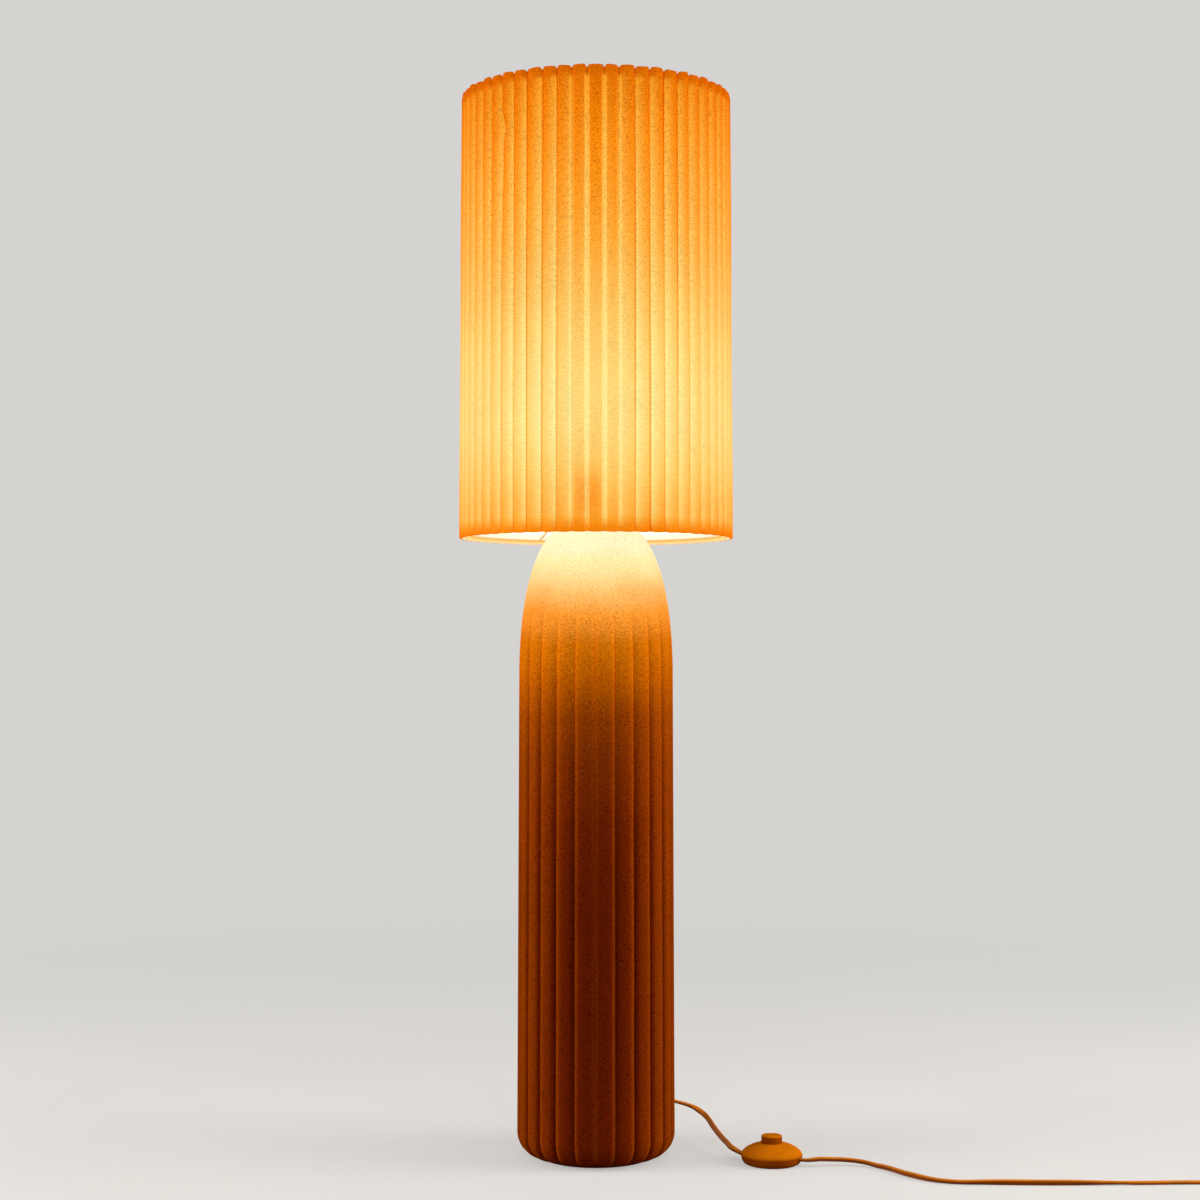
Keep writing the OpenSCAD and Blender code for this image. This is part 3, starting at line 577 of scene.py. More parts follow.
@dataclass(frozen=True)
class ClearGlass(Finish):
    """Clear glass."""

    def paint(self, graph: Graph) -> None:
        """Fills the graph with faintly striated glass.

        Args:
            graph: The graph to fill.
        """
        streaks = graph.noise(graph.place(), 90.0)
        graph.put(Base__Color=(0.96, 0.98, 0.97), Alpha=streaks.steps(0.2, 0.8, 0.3, 0.4),
                  Roughness=0.06)


@dataclass(frozen=True)
class SpeckledClay(Finish):
    """Matt speckled glaze, lit from above by the lamp's own light.

    Specks are given as cells in a metre, a speck's size in its cell and the share that hold one.
    """

    base: Stops
    glow: Stops
    speck: Colour
    stain: Colour = (0.6, 0.34, 0.15)
    # side is painted light on the flanks, and groove tints the glow darker in the grooves as painted
    # shade.
    side: Colour = (0.07, 0.019, 0.0)
    groove: Colour = (1.02, 0.72, 0.6)
    ribs_end: tuple[float, float] = (0.5, 0.585)
    specks_fade: tuple[float, float] = (0.5, 0.61)
    sand_fades: tuple[float, float] = (0.54, 0.6)
    coarse_specks: tuple[float, float, float] = (340.0, 0.36, 0.9)
    fine_specks: tuple[float, float, float] = (620.0, 0.46, 0.95)
    sand_scale: float = 760.0
    relief: float = 0.00018

    def paint(self, graph: Graph) -> None:
        """Fills the graph with specks, a fine sandy grain, the lamp's glow and painted rib shading.

        Args:
            graph: The graph to fill.
        """
        place = graph.place()
        x, y, height = graph.parts(place)
        lean = graph.lean(x, y)
        hand = graph.hand()
        low = height.fades(*self.ribs_end)
        # Painted light and shade below the shoulder: ribs are lighter on their outward side, faces
        # turned sideways lighter and faces towards the front darker, in the base colour and the glow
        # alike.
        rib = (hand * lean).steps(-0.35, 0.7, -1.0, 1.0) * abs(lean) * low
        sideways = abs(graph.part(graph.place(Coordinates.NORMAL), 0))
        flank_shading = sideways.steps(0.3, 1.0) * low
        front = sideways.fades(0.0, 0.3) * low
        shading = flank_shading * 0.12 - front * 0.06 + rib * 0.05 + 1.0
        drift = graph.noise(place, 9.0)
        looked_up = height + (drift - 0.5) * 0.03
        coarse = graph.specks(place, *self.coarse_specks)
        fine = graph.specks(place, *self.fine_specks)
        sand = graph.noise(place, self.sand_scale, 3.0, 0.75)
        dark = (coarse * 0.85).at_least(fine * 0.6) * height.steps(*self.specks_fade, 1.0, 0.3)
        contrast = height.steps(*self.sand_fades, 1.0, 0.45)
        tone = (((sand.steps(0.3, 0.7) - 0.46) * 0.74 * contrast + 1.0)
                * drift.steps(0.3, 0.7, 0.95, 1.05) * shading)
        # Painted shade in the grooves: the glow there turns darker and redder.
        groove = (1.0 - abs(hand)).fades(0.02, 0.16) * low
        colour = graph.scaled(graph.ramp(looked_up, self.base), tone)
        light = graph.scaled(graph.ramp(looked_up, self.glow), tone)
        # Painted side light added to the glow on the flanks.
        painted_side_light = graph.scaled(self.side, flank_shading * tone)
        light = graph.add("ShaderNodeVectorMath", {0: light, 1: painted_side_light}, operation="ADD")
        light = graph.mix(light, graph.tinted(light, self.stain), dark)
        light = graph.mix(light, graph.tinted(light, self.groove), groove)
        graph.put(
            Base__Color=graph.mix(colour, self.speck, dark),
            Roughness=sand.steps(0.2, 0.8, 0.52, 0.7), Specular__IOR__Level=0.0,
            Emission__Color=light, Emission__Strength=1.0,
            Normal=graph.bump(sand * 0.35 - coarse * 0.6, self.relief))


@dataclass(frozen=True)
class PleatedCloth(Finish):
    """Fine slubby cloth in rolled pleats, lit from inside."""

    base: Colour
    crest: Stops
    gap: Stops
    # fold darkens one edge of each pleat on the turned sides, as painted shade.
    fold_shade: Colour = (0.86, 0.6, 0.25)
    # holder darkens the cloth where the lampholder stands behind it, a painted shadow.
    holder: Colour = (0.97, 0.72, 0.42)
    fleck: Colour = (1.0, 0.6, 0.26)
    # inner is painted light on the cloth's faces that turn in towards the bulb.
    inner: Colour = (1.0, 0.68, 0.32)
    red: Colour = (1.06, 0.985, 0.9)
    # seam darkens the creases between pleats, as painted shade.
    seam: Colour = (0.9, 0.7, 0.4)
    # flank darkens the drum's left and right sides, as painted shade.
    flank_shading: Colour = (0.96, 0.87, 0.78)
    top_edge: tuple[float, float] = (1.088, 1.096)
    flank_shading_starts: tuple[float, float] = (0.07, 0.115)
    holder_shadow_foot: tuple[float, float] = (0.646, 0.672)
    holder_shadow_head: tuple[float, float] = (0.684, 0.714)
    holder_shadow_side: tuple[float, float] = (0.006, 0.018)
    holder_shadow_middle: float = -0.0077
    flecks: tuple[float, float, float] = (470.0, 0.36, 0.36)
    grain_scale: float = 620.0
    slub_scale: float = 840.0
    relief: float = 0.00012

    def paint(self, graph: Graph) -> None:
        """Fills the graph with the weave and with light that passes most easily between pleats.

        Args:
            graph: The graph to fill.
        """
        place = graph.place()
        x, y, z = graph.parts(place)
        hand = graph.hand()
        from_gap = 1.0 - abs(hand)
        lean = graph.lean(x, y)
        outer = hand * (lean * 6.0).within(-1.0, 1.0)
        drift = graph.noise(place, 14.0)
        height = z + (drift - 0.5) * 0.02
        even = from_gap.fades(0.12, 0.44)
        turned = (outer * -0.5 + 0.5) ** 2.3
        lit = abs(lean)
        below_edge = z.fades(*self.top_edge)
        open_gap = (even * (1.0 - lit) + turned * lit) * below_edge
        # Painted shade: a dark line along one edge of each pleat, on the sides that are half turned
        # away.
        fold_shade = from_gap.fades(0.06, 0.45) * outer.at_least(0.0) * lit
        # Painted shade in the creases between pleats: on the sides that are half turned away, and
        # all round along the top edge, fainter low down.
        seam = from_gap.fades(0.07, 0.17) * (1.0 - (1.0 - lit) * below_edge)
        seam = seam * z.steps(0.66, 0.86, 0.6, 1.0)
        # Painted shadow of the lampholder behind the cloth, a patch low on the front and on the
        # back.
        holder = (abs(x - self.holder_shadow_middle).fades(*self.holder_shadow_side)
                  * z.steps(*self.holder_shadow_foot) * z.fades(*self.holder_shadow_head))
        around = graph.around(x, y)
        rows = graph.noise(graph.vector(around * 18.0, 0.3, z * 900.0), 1.0, 3.0)
        threads = (z * 7200.0).sine() * 0.5 + (around * 900.0).sine() * 0.5
        grain = graph.noise(graph.vector(x, y, z * 1.6), self.grain_scale, 2.0, 0.7)
        slub = graph.noise(graph.vector(x, y, z * 2.0), self.slub_scale, 1.0)
        fine = graph.specks(place, *self.flecks) * 0.8
        flecks = fine.at_least(slub.steps(0.6, 0.74) * 0.6) * z.steps(0.78, 0.96, 0.5, 1.0)
        tone = (rows.steps(0.3, 0.7, 0.95, 1.04) * drift.steps(0.3, 0.7, 0.97, 1.03)
                * (1.0 - (grain.steps(0.3, 0.7) - 0.5) * z.steps(0.8, 1.0, 0.27, 0.62))
                * (threads * 0.02 + 1.0))
        crest = graph.ramp(height, self.crest)
        crest = graph.mix(crest, graph.tinted(crest, self.holder), holder)
        crest = graph.mix(crest, graph.tinted(crest, self.fold_shade), fold_shade)
        shade = graph.mix(crest, graph.ramp(z, self.gap), open_gap * (1.0 - holder * 0.3))
        shade = graph.mix(shade, graph.tinted(shade, self.seam), seam)
        shade = graph.mix(graph.tinted(shade, self.red), graph.tinted(shade, self.fleck), flecks)
        # Painted shade: the cloth turns darker towards its left and right sides.
        flank_shading = abs(x).steps(*self.flank_shading_starts)
        shade = graph.mix(shade, graph.tinted(shade, self.flank_shading), flank_shading)
        # Painted light: faces of the cloth that turn in towards the bulb take a bright inner colour.
        normal = graph.place(Coordinates.NORMAL)
        outward = (graph.part(normal, 0) * x + graph.part(normal, 1) * y) * 7.0
        shade = graph.mix(shade, self.inner, outward.fades(-0.6, 0.1))
        graph.put(
            Base__Color=graph.scaled(self.base, tone), Roughness=0.85,
            Specular__IOR__Level=0.0,
            Emission__Color=graph.scaled(shade, tone), Emission__Strength=1.0,
            Normal=graph.bump(rows + threads * 0.25, self.relief))


@dataclass(frozen=True)
class Lining(Finish):
    """Thin smooth lining that glows with the light inside."""

    base: Colour
    glow: Stops

    def paint(self, graph: Graph) -> None:
        """Fills the graph with a plain weave and a glow that is strongest by the bulb.

        Args:
            graph: The graph to fill.
        """
        place = graph.place()
        weave = graph.noise(place, 1500.0, 2.0)
        tone = weave.steps(0.3, 0.7, 0.97, 1.02)
        graph.put(
            Base__Color=graph.scaled(self.base, tone), Roughness=0.8,
            Specular__IOR__Level=0.1,
            Emission__Color=graph.scaled(graph.ramp(graph.part(place, 2), self.glow), tone),
            Emission__Strength=1.0, Normal=graph.bump(weave, 0.00006))


@dataclass(frozen=True)
class Tape(Finish):
    """Cotton tape with a twill line."""

    base: Colour
    glow: Stops

    def paint(self, graph: Graph) -> None:
        """Fills the graph with slanted twill lines and the bulb's light, painted in as a glow.

        Args:
            graph: The graph to fill.
        """
        place = graph.place()
        x, y, z = graph.parts(place)
        around = graph.around(x, y)
        twill = (around * 700.0 + z * 5200.0).sine().steps(-1.0, 1.0)
        tone = twill * 0.16 + 0.9
        graph.put(
            Base__Color=graph.scaled(self.base, tone), Roughness=0.9,
            Specular__IOR__Level=0.1,
            Emission__Color=graph.scaled(graph.ramp(z, self.glow), tone),
            Emission__Strength=1.0,
            Normal=graph.bump(twill, 0.0001))


class Mesher:
    """Makes objects from grids of points."""

    @staticmethod
    def build(name: str, points: np.ndarray, faces: Sequence[Sequence[int]],
              uv: np.ndarray | None = None, sharp: float = 40.0) -> bpy.types.Object:
        """Makes a smooth-shaded object.

        Args:
            name: The object's name.
            points: Its points, in metres.
            faces: Its faces, as point numbers.
            uv: A place for each corner of each face, in the faces' order.
            sharp: Edges folded by more than this many degrees stay sharp.

        Returns:
            The object.
        """
        mesh = bpy.data.meshes.new(name)
        mesh.from_pydata([tuple(p) for p in points.tolist()], [], [tuple(f) for f in faces])
        if uv is not None:
            layer = mesh.uv_layers.new(name="place")
            layer.data.foreach_set("uv", np.asarray(uv, dtype=np.float32).ravel())
        mesh.polygons.foreach_set("use_smooth", [True] * len(mesh.polygons))
        mesh.update()
        mesh.set_sharp_from_angle(angle=math.radians(sharp))
        made = bpy.data.objects.new(name, mesh)
        bpy.context.scene.collection.objects.link(made)
        return made

    @classmethod
    def grid(cls, name: str, rows: np.ndarray, loop: bool = False, caps: bool = False,
             repeats: int = 1, sharp: float = 40.0) -> bpy.types.Object:
        """Makes an object from rings of points that run round and close.

        Args:
            name: The object's name.
            rows: Rings of points: ring, place in the ring, coordinate.
            loop: Whether the last ring joins the first.
            caps: Whether the end rings are filled.
            repeats: How often a pattern repeats round a ring, for the pattern coordinate.
            sharp: Edges folded by more than this many degrees stay sharp.

        Returns:
            The object.
        """
        count, around = rows.shape[:2]
        points = rows.reshape(-1, 3)
        faces: list[tuple[int, ...]] = []
        corners: list[tuple[float, float]] = []
        for i in range(count if loop else count - 1):
            j = (i + 1) % count
            for k in range(around):
                n = (k + 1) % around
                faces.append((i * around + k, i * around + n, j * around + n, j * around + k))
                low, high = k * repeats / around, (k + 1) * repeats / around
                corners += [(low, i / count), (high, i / count),
                            (high, (i + 1) / count), (low, (i + 1) / count)]
        if caps:
            faces.append(tuple(range(around - 1, -1, -1)))
            faces.append(tuple((count - 1) * around + k for k in range(around)))
            corners += [(0.5, 0.0)] * around + [(0.5, 1.0)] * around
        return cls.build(name, points, faces, np.array(corners), sharp)


def dress(piece: bpy.types.Object, finish: Finish) -> None:
    """Gives a piece one finish in place of any that it has."""
    piece.data.materials.clear()
    piece.data.materials.append(finish.material())


def finish_piece(piece: bpy.types.Object, finish: Finish, body: str,
                 stands_for: Sequence[str] = ()) -> bpy.types.Object:
    """Paints a piece, lets it ride on its body and logs it.

    Args:
        piece: The piece.
        finish: Its finish.
        body: The body that it rides on.
        stands_for: The nodes that it stands for.

    Returns:
        The piece.
    """
    dress(piece, finish)
    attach(piece, body)
    if stands_for:
        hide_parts(*stands_for)
    LOG.info("made %s with %d faces on %s", piece.name, len(piece.data.polygons), body)
    return piece


# The switch plastic gets painted shade on its undersides.
ORANGE_PLASTIC = Moulded("switch_plastic", (0.6, 0.158, 0.002), 0.5, 0.00003, gloss=0.0,
                         underside_shade=0.43)
CLAY_COLOUR = (0.14, 0.0135, 0.0008)
# Each stop is a height and the colour that shows there, lit, from 0 to 255.
CLAY_SHOWN = (
    (0.0, (96, 25, 2)), (0.25, (96, 25, 2)), (0.35, (106, 32, 2)), (0.414, (120, 43, 3)),
    (0.454, (138, 56, 2)), (0.494, (175, 84, 2)), (0.534, (203, 108, 6)),
    (0.564, (249, 153, 49)), (0.585, (253, 191, 105)), (0.6, (253, 217, 142)),
    (0.615, (254, 238, 170)), (0.63, (254, 247, 195)), (0.66, (254, 249, 205)))
# The clay's glow is painted lamp light, brightest at the shoulder and darker towards the foot.
CLAY = SpeckledClay("speckled_clay", ((0.0, CLAY_COLOUR), (0.66, CLAY_COLOUR)),
                    beyond(CLAY_SHOWN, CLAY_COLOUR, 0.8), (0.03, 0.003, 0.0005))


@dataclass
class CeramicBody:
    """The ribbed ceramic body."""

    height: float = 0.654
    radius: float = 0.0819
    shoulder_radius: float = 0.0802
    shoulder_height: float = 0.16
    power: float = 2.2
    neck: float = 0.0237
    foot: float = 0.0589
    foot_height: float = 0.025
    ribs: int = 24
    depth: float = 0.0028
    full: float = 0.54
    fade: float = 0.055
    felt: float = 0.002
    steps: int = 20
    flat: float = 4.2
    first_groove: float = -90.8
    hole: float = 0.006
    top_wall: float = 0.009
    inner_neck: float = 0.0202
    inner_shoulder: float = 0.0727
    recess: tuple[tuple[float, float], ...] = (
        (0.0743, 0.027), (0.0644, 0.014), (0.04, 0.014), (0.04, 0.006), (0.05, 0.006), (0.05, 0.0))

    def side(self, h: float) -> float:
        """Returns the radius over the ribs at a height above the foot."""
        share = h / (self.height - self.shoulder_height)
        return self.radius + (self.shoulder_radius - self.radius) * share

    def rib(self, h: float) -> float:
        """Returns the depth of the valleys at a height above the foot."""
        return self.depth * eased(self.full + self.fade - h, 0.0, self.fade)

    def shoulder(self, neck: float, radius: float, rise: float,
                 parts: int) -> list[tuple[float, float]]:
        """Returns the line of a shoulder, from the side up to the neck.

        Args:
            neck: Radius at its top.
            radius: Radius at its foot.
            rise: Its height.
            parts: How many pieces the line has.

        Returns:
            Radius and height above the foot of each point.
        """
        foot = self.height - self.shoulder_height
        arc = [math.radians(90 * i / parts) for i in range(parts + 1)]
        return [(neck + (radius - neck) * math.cos(a) ** (2 / self.power),
                 foot + rise * math.sin(a) ** (2 / self.power)) for a in arc]

    def outside(self) -> list[tuple[float, float, float]]:
        """Returns radius, height above the foot and valley depth, from the foot to the neck."""
        rows = []
        for i in range(15):
            a = math.radians(90 * i / 14)
            r = self.foot + (self.side(self.foot_height) - self.foot) * math.sin(a)
            rows.append((r, self.foot_height * (1 - math.cos(a)),
                         self.depth * r / self.side(self.foot_height)))
        side_top = self.height - self.shoulder_height
        for i in range(1, 30):
            h = self.foot_height + (side_top - self.foot_height) * i / 30
            rows.append((self.side(h), h, self.rib(h)))
        rounded = self.shoulder(self.neck, self.shoulder_radius, self.shoulder_height, 48)
        return rows + [(r, h, self.rib(h)) for r, h in rounded]

    def inside(self) -> list[tuple[float, float]]:
        """Returns radius and height above the foot, from the neck's hole down to the recess."""
        top = self.height - self.top_wall
        rounded = self.shoulder(self.inner_neck, self.inner_shoulder,
                                self.shoulder_height - self.top_wall, 12)
        return [(self.hole, self.height), (self.hole, top), (self.inner_neck, top),
                *rounded[-2::-1], *self.recess]

    def build(self) -> None:
        """Makes the body, open below and hollow, in one skin."""
        around = self.ribs * self.steps
        turn = math.radians(self.first_groove) + circle(around)
        share = (np.arange(around) % self.steps) / self.steps
        hollow = np.abs(2 * share - 1) ** self.flat
        wander = 1 + 0.05 * np.sin(3 * turn + 1.0) + 0.04 * np.sin(7 * turn)
        rows = []
        for r, h, depth in self.outside() + [(r, h, 0.0) for r, h in self.inside()]:
            drift = 1 + 0.08 * np.sin(h * 31 + 2 * turn)
            radius = r - depth * np.minimum(1.0, hollow * wander * drift)
            rows.append(hoop(radius, turn, h + self.felt))
        body = Mesher.grid("ceramic_body", np.array(rows), loop=True, repeats=self.ribs,
                           sharp=60.0)
        finish_piece(body, CLAY, ROOT_BODY, ["ceramic_base"])


CLOTH_COLOUR = (0.22, 0.038, 0.0009)
# The cloth and the lining glow with painted light from the bulb; each stop is a height and the
# colour that shows there, from 0 to 255.
CREST_SHOWN = (
    (0.64, (238, 126, 4)), (0.648, (246, 144, 22)), (0.656, (252, 168, 52)),
    (0.68, (253, 184, 78)), (0.7, (253, 198, 98)), (0.735, (253, 213, 120)),
    (0.776, (253, 217, 127)), (0.83, (252, 204, 108)), (0.88, (251, 187, 84)),
    (0.93, (250, 166, 50)), (0.98, (248, 151, 28)), (1.03, (242, 136, 10)),
    (1.06, (232, 125, 4)), (1.09, (220, 112, 1)), (1.106, (206, 98, 0)))
GAP_SHOWN = (
    (0.64, (240, 132, 12)), (0.6445, (247, 150, 34)), (0.651, (253, 196, 88)),
    (0.657, (254, 220, 126)), (0.695, (254, 234, 146)), (0.745, (255, 250, 174)),
    (0.826, (255, 244, 160)), (0.876, (255, 231, 140)), (0.927, (255, 219, 122)),
    (0.977, (255, 208, 104)), (1.027, (255, 196, 84)), (1.077, (255, 178, 54)),
    (1.106, (250, 160, 34)))
CLOTH = PleatedCloth("pleated_cloth", CLOTH_COLOUR, beyond(CREST_SHOWN, CLOTH_COLOUR, 0.68),
                     beyond(GAP_SHOWN, CLOTH_COLOUR, 0.6))
LINER_COLOUR = (0.5, 0.46, 0.38)
LINER = Lining("shade_lining", LINER_COLOUR, beyond((
    (0.64, (253, 250, 228)), (0.78, (255, 254, 244)), (0.95, (255, 238, 196)),
    (1.1, (253, 214, 140))), LINER_COLOUR, 0.3))
# The tape's glow is painted light from the bulb, with a darker band a few millimetres above the
# bottom edge and a dimmer glow at the top.
TAPE_COLOUR = (0.16, 0.07, 0.015)
TAPE = Tape("binding_tape", TAPE_COLOUR, beyond((
    (0.6406, (254, 226, 146)), (0.6426, (250, 210, 125)), (0.643, (224, 162, 70)),
    (0.6452, (224, 162, 70)), (0.6458, (253, 250, 226)), (0.66, (253, 250, 226)),
    (1.085, (253, 250, 226)), (1.09, (214, 100, 4)), (1.1, (205, 92, 2))), TAPE_COLOUR, 0.3))


@dataclass
class Shade:
    """The pleated drum shade on its wire rings; its kink is so many radians wide and long."""

    low: float = 0.6406
    height: float = 0.4594
    bottom: float = 0.1428
    top: float = 0.141
    depth: float = 0.0032
    pleats: int = 55
    gap: float = 0.13
    cloth: float = 0.0008
    lining: float = 0.0006
    glue: float = 0.0002
    crown: float = 0.012
    kink_turn: float = -132.2
    kink_heights: tuple[float, float, float] = (1.066, 1.045, 1.034)
    kink_tail: float = 0.12
    kink_width: float = 0.045
    kink_shift: float = 0.044
    wire: float = 0.002
    tape: float = 0.0004
    tape_width: float = 0.009
    top_lap: float = 0.0058
    ring_radii: tuple[float, float] = (0.1355, 0.1337)
    tape_radii: tuple[float, float] = (0.1386, 0.1368)
    samples: tuple[float, ...] = (
        0.0, 0.065, 0.08, 0.1, 0.13, 0.18, 0.25, 0.36, 0.5, 0.64, 0.75, 0.82, 0.87, 0.9, 0.92,
        0.935)

    def bulge(self, share: np.ndarray) -> np.ndarray:
        """Returns how far the cloth stands out, from 0 in a gap to 1 on a crest.

        Args:
            share: Places across a pleat, from gap to gap.

        Returns:
            The bulge at each place.
        """
        u = np.clip(np.abs(2 * share - 1) / (1 - self.gap), 0, 1)
        return (1 - u ** 2.6) ** 0.55

    def rows(self) -> list[tuple[float, float, float, float]]:
        """Returns the rings of the cloth, up its outer skin, over the top and down inside.

        Returns:
            Radius of the valleys, height, depth of the pleats and droop between them.
        """
        h = self.height
        low, high = self.bottom - self.depth, self.top - self.depth
        rows = [(low - self.cloth * 0.4, 0.0, self.depth * 0.82, 0.0),
                (low, 0.0006, self.depth * 0.95, 0.0), (low, 0.002, self.depth, 0.0)]
        for i in range(1, 41):
            share = i / 41
            rows.append((low + (high - low) * share, share * (h - self.crown), self.depth, 0.0))
        for share, inward, drop in ((0.0, 0.0, 0.0), (0.25, 0.0, 0.2), (0.5, 0.0, 0.5),
                                    (0.75, 0.0, 0.78), (0.93, 0.0002, 0.95), (1.0, 0.0009, 1.0)):
            rows.append((high - inward * 0.3, h - self.crown + self.crown * share,
                         self.depth - inward * 0.9, drop))
        inner_low, inner_high = low - self.cloth, high - self.cloth
        rows += [(inner_high + 0.0002, h - 0.0003, 0.0005, 1.0), (inner_high, h - 0.002, 0.0, 0.9)]
        for share in (0.8, 0.6, 0.4, 0.2, 0.0):
            rows.append((inner_low + (inner_high - inner_low) * share, h * share, 0.0, 0.0))
        return rows

    def uneven_widths(self, index: np.ndarray, across: np.ndarray) -> np.ndarray:
        """Returns how far each edge of a pleat is shifted, from -1 to 1.

        Args:
            index: The pleat of each point.
            across: The place of each point across its pleat.

        Returns:
            The shift at each point.
        """
        width = np.sin(index * 12.9898) * 43758.5453
        width = (width - np.floor(width) - 0.5) * 2
        return np.where(across < 0.5, width, np.roll(width, -len(self.samples)))

    def cover(self) -> None:
        """Makes the pleated cloth with its one creased pleat."""
        share = np.array(self.samples)
        around = self.pleats * len(share)
        index = np.repeat(np.arange(self.pleats), len(share))
        across = np.tile(share, self.pleats)
        start = -math.pi / 2 - math.pi / self.pleats
        turn = start + (index + across) * 2 * np.pi / self.pleats
        out = self.bulge(across)
        uneven = 1 + 0.05 * np.sin(index * 2.4) + 0.04 * np.sin(index * 5.7)
        edge = np.exp(-((across - np.round(across)) / 0.2) ** 2)
        off = np.angle(np.exp(1j * (turn - math.radians(self.kink_turn))))
        near = np.exp(-((off / self.kink_width) ** 2))
        skew = self.uneven_widths(index, across)
        top, middle, end = self.kink_heights
        kinked = ([end - self.kink_tail, end, middle, top], [0.0, 0.45, 1.0, 0.0])
        blunt = 0.26 + 0.1 * np.sin(index * 3.7)
        slope = 0.0007 * np.sin(index * 8.1) * (2 * across - 1) + 0.0005 * np.sin(index * 2.9)
        grid = []
        for valley, h, depth, drop in self.rows():
            z = self.low + h
            push = float(np.interp(z, *kinked))
            sway = (0.0075 * skew + 0.002 * np.sin(index * 1.9 + z * 9)) * edge
            sway = sway + self.kink_shift * push * near
            sag = 0.00018 * np.sin(z * 23 + index * 1.3)
            radius = valley + np.minimum(depth, depth * uneven) * out + sag * out * (depth > 0.001)
            fall = drop * (0.002 * (1 - out ** blunt) + slope * out - 0.0021)
            fall = fall + 0.0006 * max(0.0, 1 - h / 0.02) * out ** 1.5
            grid.append(hoop(radius, turn + sway, z - fall))
        piece = Mesher.grid("pleated_cover", np.array(grid), loop=True, sharp=180.0)
        layer = piece.data.uv_layers["place"]
        uv = np.empty(len(layer.data) * 2, dtype=np.float32)
        layer.data.foreach_get("uv", uv)
        uv = uv.reshape(-1, 2)
        column = uv[:, 0] * around
        whole = np.append(index + across, self.pleats)
        uv[:, 0] = np.interp(column, np.arange(around + 1), whole)
        layer.data.foreach_set("uv", uv.ravel())
        finish_piece(piece, CLOTH, SHADE_BODY, ["shade_cover"])

    def liner(self) -> None:
        """Makes the lining with its lapped seam."""
        turn = circle(180)
        lap = 0.00025 * (np.abs(np.angle(np.exp(1j * (turn - 1.9)))) < 0.06)
        low = self.bottom - self.depth - self.cloth - self.glue
        high = self.top - self.depth - self.cloth - self.glue
        grid = []
        for first, last, inward in ((0, 1, 0.0), (1, 0, self.lining + lap)):
            for share in np.linspace(first, last, 12):
                z = self.low + 0.0005 + (self.height - 0.0065) * share
                grid.append(hoop(low + (high - low) * share - inward, turn, z))
        piece = Mesher.grid("lining", np.array(grid), loop=True, sharp=50.0)
        finish_piece(piece, LINER, SHADE_BODY, ["shade_liner"])

    def binding(self, name: str, node: str, ring: float, outer: float, z: float, up: int) -> None:
        """Makes the tape that wraps a ring.

        Args:
            name: The piece's name.
            node: The node that it stands for.
            ring: Radius of the ring, to the middle of its wire.
            outer: Outer radius of the tape.
            z: Height of the shade's edge.
            up: 1 where the tape stands up from the bottom edge, and -1 at the top.
        """
        tape, tall = self.tape, self.tape_width
        inner = ring - self.wire - self.glue - tape
        lap = self.top_lap if up < 0 else tape
        line = [(outer, 0.0), (outer, lap), (outer - tape * 0.8, lap), (outer - tape, tape),
                (inner + tape * 2, tape), (inner + tape, tape * 2)]
        line += [(inner + tape, tall * k / 5) for k in range(1, 6)]
        line += [(inner + tape * 0.4, tall)]
        line += [(inner, tall * k / 5) for k in range(4, 0, -1)]
        line += [(inner, tape * 1.5), (inner + tape, tape * 0.4), (inner + tape * 3, 0.0)]
        turn = circle(240)
        grid = []
        for r, h in line:
            ripple = 0.0001 * np.sin(turn * 60) * min(1.0, h / 0.004)
            grid.append(hoop(r + ripple, turn, z + up * h))
        if up > 0:
            grid.reverse()
        piece = Mesher.grid(name, np.array(grid), loop=True, sharp=70.0)
        finish_piece(piece, TAPE, SHADE_BODY, [node])

    def build(self) -> None:
        """Makes the cover, the lining and the two bindings."""
        self.cover()
        self.liner()
        bottom, top = zip(self.ring_radii, self.tape_radii)
        self.binding("bottom_tape", "shade_bottom_binding", *bottom, self.low + 0.0006, 1)
        self.binding("top_tape", "shade_top_binding", *top, self.low + self.height, -1)


def metres(points: Sequence[Point]) -> list[Point]:
    """Returns points that are given in millimetres."""
    return [tuple(v / 1000 for v in p) for p in points]


def run(path: np.ndarray) -> float:
    """Returns how long a line of points is, to the millimetre."""
    return round(float(np.linalg.norm(np.diff(path, axis=0), axis=1).sum()), 3)


# The cord's sheath gets painted shade on its undersides.
SHEATH = Moulded("cord_sheath", (0.64, 0.19, 0.008), 0.4, 0.00002, gloss=0.06, underside_shade=0.5)


